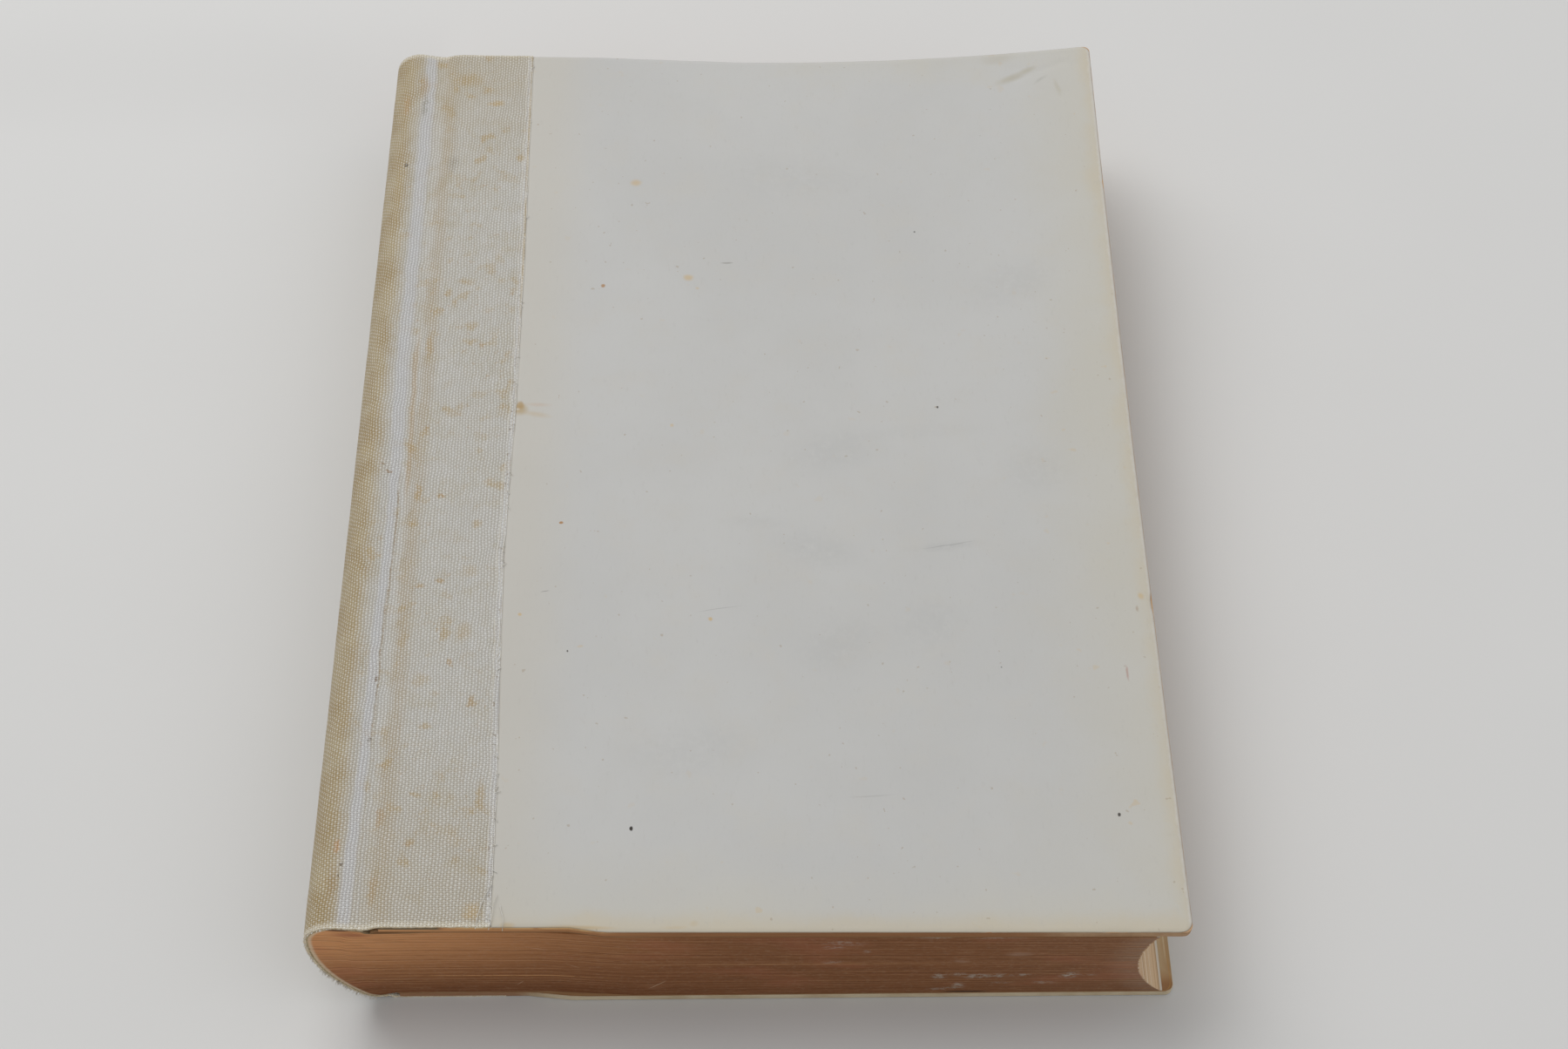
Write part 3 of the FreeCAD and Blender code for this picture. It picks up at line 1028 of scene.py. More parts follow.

# %% [markdown]
# The front endpaper starts at the fore-edge as the top leaf, dips with the leaves beside the
# joint, turns back in a small loop and runs out again under the board.

# %% Lay the front endpaper
leaf_depth = block_top_depth - endpaper_thick / 2
low_depth = front_hinge[2] - low_leaf - endpaper_thick / 2
front_leaf_line = np.vstack(
    [
        np.column_stack(
            [np.linspace(leaf_right_top, joint_relief_width, 40), np.full(40, leaf_depth)]
        ),
        [(7.2, leaf_depth + 0.29), (front_joint_width + 0.8, low_depth - 0.05)],
    ]
)
front_fold = smooth_line(
    [
        front_leaf_line[-1],
        (1.7, low_depth),
        (0.95, low_depth - 0.12),
        (1.05, low_depth - 0.4),
        (1.75, low_depth - 0.72),
        (2.35, pastedown_depth + 0.06),
        (3.1, pastedown_depth),
    ],
    8,
)
normal = np.array([math.sin(front_slope), 0, math.cos(front_slope)])
hinge_point = np.array([front_hinge[0], 0, front_hinge[2]])
front_start = hinge_point - normal * (leaf_depth - 0.005)
front_end = hinge_point - normal * (pastedown_depth + 0.005)
front_endpaper = endpaper(
    "front_endpaper",
    front_leaf_line,
    front_fold,
    front_board_right,
    carry_front,
    front_step_ends,
    front_start * MM,
    front_end * MM,
)
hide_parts("front_pastedown", "front_flyleaf")
print("front endpaper", len(front_endpaper.data.polygons), "faces")

# %% [markdown]
# The back endpaper is the same thing turned over, with a plainer fold. Its loose leaf reaches a
# little past the others at the fore-edge, where the photograph shows dark lines.

# %% Lay the back endpaper
back_leaf_depth = block_bottom - endpaper_thick / 2
back_pasted_depth = paper_thick + board_thick + endpaper_thick / 2
back_leaf_line = np.column_stack(
    [
        np.linspace(leaf_right_bottom + flyleaf_overhang, back_joint_width + 0.6, 42),
        np.full(42, back_leaf_depth),
    ]
)
back_fold = smooth_line(
    [
        back_leaf_line[-1],
        (1.95, back_leaf_depth),
        (1.62, back_leaf_depth - 0.08),
        (1.55, (back_leaf_depth + back_pasted_depth) / 2),
        (1.62, back_pasted_depth + 0.08),
        (1.95, back_pasted_depth),
        (2.6, back_pasted_depth),
    ],
    8,
)
back_endpaper = endpaper(
    "back_endpaper",
    back_leaf_line,
    back_fold,
    back_board_right,
    carry_back,
    back_step_ends,
    Vector((0, 0, back_leaf_depth - 0.005)) * MM,
    Vector((0, 0, back_pasted_depth + 0.005)) * MM,
)
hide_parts("back_pastedown", "back_flyleaf")
print("back endpaper", len(back_endpaper.data.polygons), "faces")

# %% [markdown]
# ## Toned endpapers
#
# The endpapers are cream and browned along their edges, most at the fore-edge where air
# reaches them. The piece bends, so its patterns are drawn on its UV map, which is its place on
# the flat sheet and stays with the paper.


# %% Finish the endpapers
def toned_paper(name, sheet_width):
    toned = Finish(name, (214, 199, 164))
    across, along, sheet = toned.flat()
    mottled = toned.cloud(sheet, 26, 4.0, 0.6)
    fibres = toned.cloud(sheet, 0.5, 3.0, 0.7)
    from_edge = across.least(sheet_width - across)
    from_end = along.least(book_height - along)
    browned = from_edge.least(from_end) + (mottled - 0.5) * 6
    toned.tint(browned.rise(9, 0) * 0.85, (170, 122, 76))
    toned.tint(browned.rise(2.6, 0.4) * 0.5, (140, 92, 54))
    foxed = toned.cloud(sheet, 5, 3.0, 0.6)
    toned.tint(foxed.rise(0.66, 0.74) * 0.4, (180, 126, 70))
    toned.tint(mottled.rise(0.35, 0.75) * 0.2, (190, 172, 136))
    streaks = toned.cloud(sheet, 0.55, 3.0, 0.7, (1, 60, 1))
    margin = from_edge.rise(5.0, 3.6)
    toned.tint(margin * streaks.rise(0.50, 0.62) * 0.55, (196, 148, 84))
    toned.tint(margin * streaks.rise(0.44, 0.36) * 0.45, (226, 206, 170))
    toned.tint(from_edge.rise(0.7, 0.4) * 0.8, (236, 228, 212))
    return toned.done(0.85, 0.25, fibres, 0.00004, 0.6)


for sheet in (front_endpaper, back_endpaper):
    dress(sheet, toned_paper(sheet.name.replace("_", " "), 2 * board_width))

# %% [markdown]
# ## Boards
#
# The boards keep their CAD shape. Pasteboard never has a sharp edge for long, so a Weld and a
# Bevel modifier round its edges by a quarter of a millimetre; the CAD mesh itself stays as it
# is. Their cut edges are the colour of raw board: tan, and browner on the tail edge of the
# front board, which was trimmed together with the leaves.


# %% Round the boards
def soften(node, width):
    weld = node.modifiers.new("one skin", "WELD")
    weld.merge_threshold = 0.00001
    rounding = node.modifiers.new("rubbed edges", "BEVEL")
    rounding.width = width * MM
    rounding.segments = 2
    rounding.limit_method = "ANGLE"
    rounding.angle_limit = math.radians(50)


for name in ("front_board", "back_board"):
    soften(frame["nodes"][name], 0.25)
    print(name, [modifier.name for modifier in frame["nodes"][name].modifiers])

# %% [markdown]
# Board is paper pulp pressed in layers, so its cut has fine lines along it and some grit. On
# the tail the front board shares the brown of the leaves, with a strip of ochre along its top
# where the paper has come away, and a grey-green band of painted shade beside the spine under
# the linen. The back board is paler, and browned only at its spine end.


# %% Finish the boards
def raw_board(name, colour, dark, light):
    """A cut board, and the height of its layers and grit."""
    board = Finish(name, colour)
    layers = board.cloud(board.place, 0.35, 3.0, 0.6, (30, 30, 1))
    clouds = board.cloud(board.place, 9, 4.0, 0.6)
    grit = board.cloud(board.place, 0.4, 3.0, 0.7)
    board.tint(clouds.rise(0.35, 0.7) * 0.8, dark)
    board.tint(layers.rise(0.45, 0.7) * 0.5, light)
    board.tint(grit.rise(0.6, 0.75) * 0.4, dark)
    return board, layers + grit * 0.6


board, height = raw_board("front board edge", (188, 152, 116), (150, 112, 80), (206, 174, 140))
x, y, z = board.split(board.place)
patches = board.cloud(board.place, 5, 3.0, 0.6)
on_tail = y.rise(-0.1030, -0.1036)
lines = board.cloud(board.place, 0.22, 3.0, 0.65, (60, 1, 1))
# Painted light: the cut is lightened a little, to offset the shade it lies in under the linen and
# the bevel.
cut = board.mix(0.22, browned_cut(board, x, z), paint(214, 160, 108))
cut = board.mix(lines.rise(0.48, 0.72) * 0.4, cut, paint(88, 50, 30))
board.tint(on_tail * (x + (patches - 0.5) * 0.012).rise(0.058, 0.046), cut)
up_the_edge = z + x * math.tan(front_slope)
ochre_strip = up_the_edge.rise(0.02755, 0.02785) * x.rise(-0.053, -0.049) * x.rise(-0.022, -0.030)
board.tint(on_tail * ochre_strip * patches.rise(0.25, 0.5) * 0.8, (232, 190, 134))
# Painted shade: a grey-green band where the linen stands off the board's top beside the spine.
shade_under_cloth = up_the_edge.rise(0.02735, 0.02765)
shade_under_cloth = shade_under_cloth * (x + (patches - 0.5) * 0.002).rise(-0.0520, -0.0535)
board.tint(on_tail * shade_under_cloth * 0.9, (118, 108, 84))
dress(frame["nodes"]["front_board"], board.done(0.85, 0.25, height, 0.0001, 0.7))

board, height = raw_board("back board edge", (222, 206, 176), (196, 172, 136), (230, 218, 192))
x, y, z = board.split(board.place)
patches = board.cloud(board.place, 5, 3.0, 0.6)
dark_end = (x + (patches - 0.5) * 0.008).rise(-0.036, -0.044) * y.rise(-0.1025, -0.1033)
board.tint(dark_end * 0.8, (150, 96, 58))
dress(frame["nodes"]["back_board"], board.done(0.85, 0.25, height, 0.0001, 0.7))

# %% [markdown]
# ## Paper sides
#
# Each board is covered with a thin off-white paper that starts beside the linen. It is a sheet
# laid on the cover, with its edges pressed down over the board's and its corners worn round.
# Old paste leaves it slightly uneven, and a few soft creases cross the corner that curled up.
# The grid is finer there, and along the edges, so that these are real shapes.


# %% Model a paper side
def near_segment(x, y, start, end):
    """Distance from each point to a short line."""
    start, end = np.array(start, float), np.array(end, float)
    run = end - start
    share = np.clip(((x - start[0]) * run[0] + (y - start[1]) * run[1]) / (run @ run), 0, 1)
    return np.hypot(x - start[0] - share * run[0], y - start[1] - share * run[1])


def paper_side(name, joint_width, board_right, outer_depth, carry, ends, creases, nick):
    """A sheet on the outside of a board; nick is the place, depth and width of a nick."""
    x_steps = stations((0.03, 6), (0.69, 50), (0.25, 44), (0.03, 12))
    y_steps = stations((3, 12), (book_height - 36, 104), (30, 50), (3, 12))
    sheet = unit_sheet(name, len(x_steps) - 1, len(y_steps) - 1)
    unit = points_of(sheet)
    share, y = spaced(unit[:, 0], x_steps), spaced(unit[:, 1], y_steps)
    left = cloth_edge(joint_width, y) + 0.02
    right_edge = worn_right(board_right, y, paper_corner)
    if nick is not None:
        right_edge = right_edge - nick[1] * np.exp(-(((y - nick[0]) / nick[2]) ** 2))
    right_edge = right_edge - 0.06 - 0.05 * rough(np.column_stack([0 * y, y, 0 * y]), 2.2, seed=3)
    x = left + share * (right_edge - left)
    cut = setback(front_hinge[0] + x, *ends)
    head = head_edge(front_hinge[0] + x)
    y = cut + 0.02 + y * (head - cut - 0.04) / book_height
    flat = np.column_stack([x, y, 0 * x])
    from_edge = np.minimum(np.minimum(y - cut, head - y), right_edge - x)
    pressed = 0.13 * (1 - ease(from_edge, 0, 0.9)) ** 2
    dents = 0.10 * (1 - ease(from_edge, 0, 1.6)) * np.clip(rough(flat, 4, seed=6), 0, 1)
    depth = outer_depth + pressed + dents - 0.02 * rough(flat, 28, seed=4)
    for start, end, deep in creases:
        depth += deep * np.exp(-((near_segment(x, y, start, end) / 0.7) ** 2))
    put(sheet, carry(x, y, depth, np.ones(len(x), bool)))
    smooth(sheet, 60)
    thicken(sheet, paper_thick, -1)
    return sheet


print("paper", paper_thick, "mm thick")

# %% [markdown]
# Each crease is a short line across the sheet and how deep it is pressed. The front paper has
# a small nick in its fore-edge too. The back one lies on the table and is plain.

# %% Lay the paper on both boards
front_creases = [
    ((125.5, 202), (136.5, 206), 0.10),
    ((136.5, 206), (139.5, 205), 0.06),
    ((121, 207), (129, 204.5), 0.06),
    ((131, 199), (136, 196), 0.05),
    ((136, 197), (138, 190), 0.05),
]
front_nick = (67.5, 0.5, 0.9)
front_paper = paper_side(
    "front_paper_side",
    front_joint_width,
    front_board_right,
    cloth_proud - paper_thick,
    carry_front,
    front_step_ends,
    front_creases,
    front_nick,
)
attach(front_paper, "front_cover")
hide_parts("front_cover_paper")
back_paper = paper_side(
    "back_paper_side",
    back_joint_width,
    back_board_right,
    0.0,
    carry_back,
    back_step_ends,
    [],
    None,
)
back_paper.data.flip_normals()
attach(back_paper, "back_cover")
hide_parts("back_cover_paper")
print("paper sides", len(front_paper.data.polygons), "faces each")

# %% [markdown]
# ## Soiled paper
#
# From afar the paper is one plain colour; what makes it old is the list of small things on it.
# Its margins have yellowed, handling has left grey smudges, and rust-coloured foxing, specks,
# a pencil line and a rubbed corner each sit at their own place. Every mark is a soft spot whose
# edge is broken up by noise, so a short list draws them all.

# %% Tone the paper
soiled = Finish("soiled paper side", (193, 192, 189))
x, y, z = soiled.split(soiled.place)
clouds = soiled.cloud(soiled.place, 38, 4.0, 0.6)
patches = soiled.cloud(soiled.place, 9, 4.0, 0.65)
uneven = soiled.cloud(soiled.place, 1.6, 3.0, 0.7)
soiled.tint(clouds.rise(0.30, 0.72), (189, 188, 185))
soiled.tint(patches.rise(0.45, 0.78) * 0.35, (194, 190, 182))
fore_margin = (x + (clouds - 0.5) * 0.030).rise(0.050, 0.080)
tail_margin = (y + (clouds - 0.5) * 0.030).rise(-0.086, -0.110)
head_margin = (y + (patches - 0.5) * 0.020).rise(0.092, 0.112) * x.rise(-0.02, 0.05)
low_right = (x - y * 0.8 + (clouds - 0.5) * 0.03).rise(0.10, 0.16)
yellowed = fore_margin.most(tail_margin).most(head_margin * 0.8).most(low_right * 0.6)
soiled.tint(yellowed * 0.52, (195, 189, 172))
tail_rim = (y + (patches - 0.5) * 0.006).rise(-0.1005, -0.1050)
fore_rim = (x + (patches - 0.5) * 0.006).rise(0.0725, 0.0768)
soiled.tint(tail_rim.most(fore_rim * 0.8) * 0.42, (196, 180, 148))
joint_margin = (x + (patches - 0.5) * 0.010).rise(-0.030, -0.0435)
soiled.tint(joint_margin * 0.5, (193, 187, 174))
print("paper toned, nodes so far", len(soiled.tree.nodes))

# %% [markdown]
# Each row of these two lists is a mark: where its middle is, its half-widths, its turn, and how
# strong it is. The smudges are broad and grey. The others bring their own colour and softness,
# from foxing and specks to a pencil line, and noise shifts them a little so that none of them
# is a clean oval.

# %% Smudge and spot the paper
rusty, sooty, ochre = (166, 122, 72), (52, 46, 40), (196, 168, 118)
smudges = [
    ((17, -3), (13, 8), 20, 0.17),
    ((13, -26), (13, 6), -14, 0.20),
    ((34, -43), (11, 9), 20, 0.16),
    ((17, -47), (12, 8), 30, 0.18),
    ((39, -25), (10, 1.5), 5, 0.26),
    ((2, -20), (9, 2.4), 0, 0.14),
    ((57, -7), (10, 9), 0, 0.14),
    ((34, 2), (16, 2.6), 4, 0.10),
    ((55, 40), (14, 8), 30, 0.16),
    ((-10, -70), (18, 8), 10, 0.14),
    ((10, 70), (22, 9), -5, 0.12),
]
marks = [
    ((-44.6, 6.6), (2.2, 2.0), 0, 0.70, (172, 148, 104), 0.8),
    ((-44.5, 7.6), (1.0, 1.3), 20, 0.75, (170, 142, 98), 0.6),
    ((-46.2, 7.4), (0.5, 1.2), 30, 0.85, (84, 74, 60), 0.7),
    ((-45.2, 6.6), (0.7, 0.4), 0, 0.6, (206, 200, 190), 0.7),
    ((-41.0, 7.8), (3.4, 0.7), -3, 0.28, (188, 156, 128), 0.9),
    ((-41.4, 5.4), (4.0, 1.0), -10, 0.35, (186, 162, 124), 0.9),
    ((-21.0, -85.8), (0.42, 0.62), 15, 1.0, sooty, 0.5),
    ((65.6, -82.7), (0.38, 0.5), 20, 0.9, sooty, 0.5),
    ((38.5, 8.1), (0.28, 0.35), 0, 0.85, sooty, 0.5),
    ((-33.5, -49.1), (0.25, 0.3), 0, 0.8, sooty, 0.5),
    ((36.0, 54.8), (0.28, 0.3), 0, 0.7, sooty, 0.5),
    ((-46.6, -51.0), (0.2, 0.25), 0, 0.7, sooty, 0.5),
    ((47.0, -52.0), (0.2, 0.2), 0, 0.6, sooty, 0.5),
    ((-23.0, 68.2), (1.6, 1.4), 0, 0.55, ochre, 0.8),
    ((-11.6, 41.6), (1.5, 1.2), 0, 0.6, ochre, 0.8),
    ((-9.6, 38.8), (0.6, 0.5), 0, 0.4, ochre, 0.8),
    ((-29.2, 39.0), (0.6, 0.6), 0, 0.8, rusty, 0.6),
    ((-7.0, -42.1), (0.55, 0.6), 0, 0.8, ochre, 0.7),
    ((-14.8, 3.2), (0.6, 0.6), 0, 0.5, ochre, 0.8),
    ((-35.4, -20.4), (0.45, 0.4), 0, 0.9, rusty, 0.5),
    ((-42.3, -41.0), (0.5, 0.5), 0, 0.7, ochre, 0.7),
    ((-31.0, -48.0), (0.9, 0.4), 10, 0.35, ochre, 0.8),
    ((-37.9, -35.9), (1.1, 0.12), 12, 0.6, (120, 118, 116), 0.6),
    ((-3.5, 46.0), (1.7, 0.3), 3, 0.6, (140, 136, 130), 0.7),
    ((-5.4, -39.8), (5.2, 0.10), 12, 0.28, (120, 118, 116), 0.6),
    ((38.8, -24.8), (6.5, 0.14), 9, 0.32, (128, 128, 126), 0.6),
    ((21.8, -79.0), (5.5, 0.22), 4, 0.22, (140, 138, 134), 0.8),
    ((70.1, -53.5), (0.35, 2.3), 8, 0.6, (168, 128, 116), 0.8),
    ((59.3, 97.0), (5.0, 1.5), 24, 0.42, (166, 156, 128), 0.9),
    ((63.0, 99.0), (3.0, 1.2), 20, 0.38, (166, 156, 128), 0.9),
    ((56.5, 103.0), (5.2, 2.0), 8, 0.30, (176, 168, 150), 0.9),
    ((68.8, 93.5), (0.8, 3.4), 10, 0.32, (172, 164, 142), 0.9),
    ((65.5, 96.0), (2.4, 0.6), 38, 0.30, (160, 158, 150), 0.9),
    ((74.6, -36.4), (0.9, 1.1), 0, 0.55, ochre, 0.8),
    ((73.6, -39.2), (0.4, 0.9), 0, 0.4, (150, 120, 90), 0.8),
    ((-41.5, -104.2), (1.8, 0.9), 0, 0.45, (190, 162, 112), 0.8),
    ((-30.0, -104.6), (9.0, 0.6), 0, 0.5, (188, 158, 108), 0.8),
    ((-9.5, -104.0), (1.2, 0.8), 0, 0.25, (190, 164, 118), 0.8),
    ((-13.0, -104.6), (3.0, 0.5), 0, 0.22, (190, 164, 118), 0.8),
]
spotted = soiled.shifted(soiled.place, (patches - 0.5) * 0.0022, (clouds - 0.5) * 0.0022)
soiled.marks(spotted, smudges, uneven.rise(0.25, 0.62), tint=(164, 164, 162), soft=0.9)
soiled.marks(spotted, marks)
print("marks", len(smudges) + len(marks))

# %% [markdown]
# What is left is too fine to place one by one: specks and foxing, which are thickest in the
# yellowed margins, and the fibres of the paper, which also make its bumps.

# %% Finish the front paper side
specks = soiled.cloud(soiled.place, 1.1, 1.0, 0.5)
foxing = soiled.cloud(soiled.place, 3.2, 2.0, 0.5)
fibres = soiled.cloud(soiled.place, 0.7, 4.0, 0.7, (1, 3, 1))
grains = soiled.cloud(soiled.place, 0.35, 2.0, 0.6)
soiled.tint(specks.rise(0.765, 0.79) * 0.4, (156, 138, 112))
soiled.tint(foxing.rise(0.71, 0.77) * (0.10 + yellowed * 0.28), ochre)
soiled.tint(fibres.rise(0.55, 0.80) * 0.22, (168, 165, 158))
soiled.tint(grains.rise(0.58, 0.80) * 0.12, (206, 205, 202))
# Painted highlight along the fore-edge, where the paper is also rubbed.
rubbed = (x + (uneven - 0.5) * 0.0012).rise(0.0757, 0.0765)
soiled.tint(rubbed * 0.55, (208, 205, 200))
height = fibres * 0.5 + grains * 0.3 + uneven * 0.35 + patches * 0.8
dress(front_paper, soiled.done(0.62 + patches * 0.18, 0.35, height, 0.00005, 0.6))

# %% [markdown]
# The photograph doesn't show the back of the book. Its paper is given the same age in general,
# with yellowed margins and some rubbing from the table, and no marks of its own.

# %% Finish the back paper side
plain = Finish("plain paper side", (188, 186, 182))
x, y, z = plain.split(plain.place)
clouds = plain.cloud(plain.place, 30, 4.0, 0.6)
uneven = plain.cloud(plain.place, 1.6, 3.0, 0.7)
fibres = plain.cloud(plain.place, 0.7, 4.0, 0.7, (1, 3, 1))
rub = plain.cloud(plain.place, 7, 4.0, 0.7)
plain.tint(clouds.rise(0.3, 0.7), (180, 177, 170))
fore_margin = (x + (clouds - 0.5) * 0.02).rise(0.056, 0.076)
end_margins = abs(y + (clouds - 0.5) * 0.016).rise(0.092, 0.106)
plain.tint(fore_margin.most(end_margins) * 0.8, (186, 174, 150))
plain.tint(rub.rise(0.55, 0.8) * 0.5, (158, 154, 146))
plain.tint(fibres.rise(0.55, 0.8) * 0.25, (164, 160, 152))
dress(back_paper, plain.done(0.72, 0.35, fibres * 0.6 + uneven * 0.5, 0.00005, 0.6))

# %% [markdown]
# ## The linen
#
# One strip of linen covers the back and laps onto both boards. It crosses two joints, and a
# bending piece can follow only one, so it is modelled as two halves that meet halfway down the
# back, point on point. Each half follows the book's section: over the board, down into the
# groove of the joint, up over the shoulder and round the back. Its outer face is the mesh, and
# a Solidify modifier gives it its thickness inwards at every pose.

# %% Draw the linen's line
seam_deg = (front_meet + back_meet) / 2
groove_reach, bend_reach = 1.3, 1.1
line_end = 8.0
front_crest_outer = arc(front_shoulder, front_shoulder_round, front_crest, front_crest, 1)[0]
back_crest_outer = arc(back_shoulder, back_shoulder_round, back_crest, back_crest, 1)[0]
front_groove = np.array(
    [front_hinge[0], front_crest_outer[1] - (front_hinge[0] - front_crest_outer[0]) * front_fall]
)
back_groove = np.array(
    [back_hinge[0], back_crest_outer[1] + (back_hinge[0] - back_crest_outer[0]) * back_fall]
)
front_bend = on_front(np.array([front_joint_width - cloth_thick / 2]), np.zeros(1), 0)[0, [0, 2]]
front_far = on_front(np.array([line_end]), np.zeros(1), 0)[0, [0, 2]]
back_bend = np.array([back_hinge[0] + back_joint_width - cloth_thick / 2, 0])
back_far = np.array([back_hinge[0] + line_end, 0])


def linen_line(shoulder, radius, meet, crest, groove, bend, far):
    """From the seam on the back, over the shoulder and through the groove, onto the board."""
    crest_point = arc(shoulder, radius, crest, crest, 1)[0]
    return np.vstack(
        [
            arc(spine_centre, back_round, seam_deg, meet),
            arc(shoulder, radius, meet, crest)[1:],
            rounded(crest_point, groove, bend, groove_reach),
            rounded(groove, bend, far, bend_reach),
            far,
        ]
    )


def outside_at(line, run):
    """Points at these lengths along a linen line, its direction there and the way outwards."""
    point, direction = at_length(line, run)
    outward = np.column_stack([-direction[:, 1], direction[:, 0]])
    return point, direction, -outward if line[0][1] > line[-1][1] else outward


front_ends = (front_groove, front_bend, front_far)
front_line = linen_line(front_shoulder, front_shoulder_round, front_meet, front_crest, *front_ends)
back_ends = (back_groove, back_bend, back_far)
back_line = linen_line(back_shoulder, back_shoulder_round, back_meet, back_crest, *back_ends)
print("linen", round(lengths(front_line)[-1], 2), "and", round(lengths(back_line)[-1], 2), "mm")

# %% [markdown]
# The threads pucker where the paste took hold unevenly. Along the cut at the tail and the head
# the edge is ragged, and its outer hem on the board stands up a little where pulled threads
# doubled over. A short pinched crease crosses the front ridge.


# %% Shape half of the strip
def linen(name, line, groove_x, joint_width, carry, hem, fold=None):
    """A half of the strip; hem is how far its edge stands up, fold a crease and its height."""
    before_board = lengths(line)[-1]
    groove_run = lengths(line)[np.argmin(np.abs(line[:, 0] - groove_x))]
    inner_steps = stations((before_board, 74))
    outer_steps = stations((0.9, 14), (0.1, 8))
    columns = len(inner_steps) + len(outer_steps) - 2
    y_steps = stations((2, 8), (book_height - 4, 196), (2, 8))
    sheet = unit_sheet(name, columns, len(y_steps) - 1)
    unit = points_of(sheet)
    column = np.rint(unit[:, 0] * columns).astype(int)
    y = spaced(unit[:, 1], y_steps)
    run = inner_steps[np.minimum(column, len(inner_steps) - 1)]
    board_share = outer_steps[np.maximum(column - len(inner_steps) + 1, 0)]
    on_board = board_share > 0
    x = line_end + board_share * (cloth_edge(joint_width, y) - line_end)
    flat_run = np.where(on_board, before_board + x - line_end, run)

    at_tail, at_head = unit[:, 1] == 0, unit[:, 1] == 1
    frayed = 0.16 * np.abs(rough(np.column_stack([flat_run, 0 * y, at_head * 9.0]), 0.7, seed=8))
    y = tail_setback + y * (full_height - tail_setback) / book_height
    y = np.where(at_tail, y + frayed, np.where(at_head, y - frayed, y))
    if fold is not None:
        ridge = np.where(on_board, 0, ease(run, before_board - 24, before_board - 17))
        ridge *= ease(run, before_board - 6, before_board - 9.5)
        y += 0.4 * ridge * ease(y, full_height - 10, full_height)

    flat = np.column_stack([flat_run, y, 0 * y])
    pucker = 0.035 * rough(flat * (1, 0.35, 1), 2.6, seed=9) + 0.03 * rough(flat, 14, seed=10)
    pucker *= ease(flat_run, 0, 3)
    hem_share = np.where(on_board, ease(board_share, 0.86, 0.96), 0)
    pucker += hem * hem_share * (0.6 + 0.6 * rough(flat * (0, 1, 0), 6, seed=11))
    edge_fall = 0.08 * np.where(on_board, ease(cloth_edge(joint_width, y) - x, 0.25, 0), 0)
    pucker -= edge_fall
    x = x + np.where(board_share == 1, 0.12 * rough(flat, 0.8, seed=12), 0)
    if fold is not None:
        start, end, height = fold
        away = near_segment(flat_run - groove_run, y, start, end)
        pucker += height * np.exp(-((away / 0.45) ** 2))
        pucker -= 0.4 * height * np.exp(-((away / 1.1) ** 2))

    point, _direction, outward = outside_at(line, run)
    spine = np.column_stack([point[:, 0], tail_y + y, point[:, 1]])
    off_spine = np.column_stack([outward[:, 0], 0 * y, outward[:, 1]])
    off_board = (0, 0, 1) if carry is carry_front else (0, 0, -1)
    carried = carry(x, y, 0 * x, np.ones(len(x), bool))
    middle = on_board[:, None]
    off = np.where(middle, off_board, off_spine)
    put(sheet, np.where(middle, carried, spine) + off * pucker[:, None])
    lay_out(sheet, flat_run - groove_run, y)
    keep_value(sheet, "from_hem", np.where(on_board, cloth_edge(joint_width, y) - x, 20))
    thinned = sheet.vertex_groups.new(name="thickness")
    for number, fall in enumerate(edge_fall):
        thinned.add([number], 1 - float(fall) / cloth_thick, "REPLACE")
    smooth(sheet, 60)
    sharpen_rim(sheet)
    print(name, round(flat_run.max(), 1), "mm wide")
    return sheet, flat_run.max()


ridge_fold = ((-5.2, 98.4), (-1.6, 96.2), 0.32)
front_linen, front_run = linen(
    "front_linen", front_line, front_hinge[0], front_joint_width, carry_front, 0.03, ridge_fold
)
back_linen, back_run = linen(
    "back_linen", back_line, back_hinge[0], back_joint_width, carry_back, 0.0
)
back_linen.data.flip_normals()

# %% [markdown]
# The cloth's own thickness comes from a live Solidify modifier, and its cut end gets a material
# of its own.

for piece in (front_linen, back_linen):
    wall = thicken(piece, cloth_thick, -1)
    wall.vertex_group = "thickness"
    wall.material_offset_rim = 1
joint_reach = 3.0
Vector((front_hinge[0] - joint_reach, 0, front_hinge[2])) * MM
Vector((front_hinge[0] + front_joint_width, 0, front_hinge[2])) * MM
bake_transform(front_linen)
Vector((back_hinge[0] - joint_reach, 0, 0)) * MM
Vector((back_hinge[0] + back_joint_width, 0, 0)) * MM
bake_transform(back_linen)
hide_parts("front_cloth_side", "spine_cloth")
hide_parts("back_cloth_side")

# %% [markdown]
# ## Threads, foxing and grime
#
# A plain weave is two sets of threads that pass over and under each other. With one sine wave
# across the warp and one across the weft, the product of the two says which thread is on top, and
# its size says how round it is there. The threads run about 0.58 mm apart across the strip
# and 0.42 mm along it. Over them lie the stains of long use: foxing, a tan band of dirt in the
# groove and ochre on the rounded back. A pale stripe on the ridge is partly rubbed clean and
# partly a painted highlight.


# %% Weave the linen
warp_pitch, weft_pitch = 0.58, 0.42


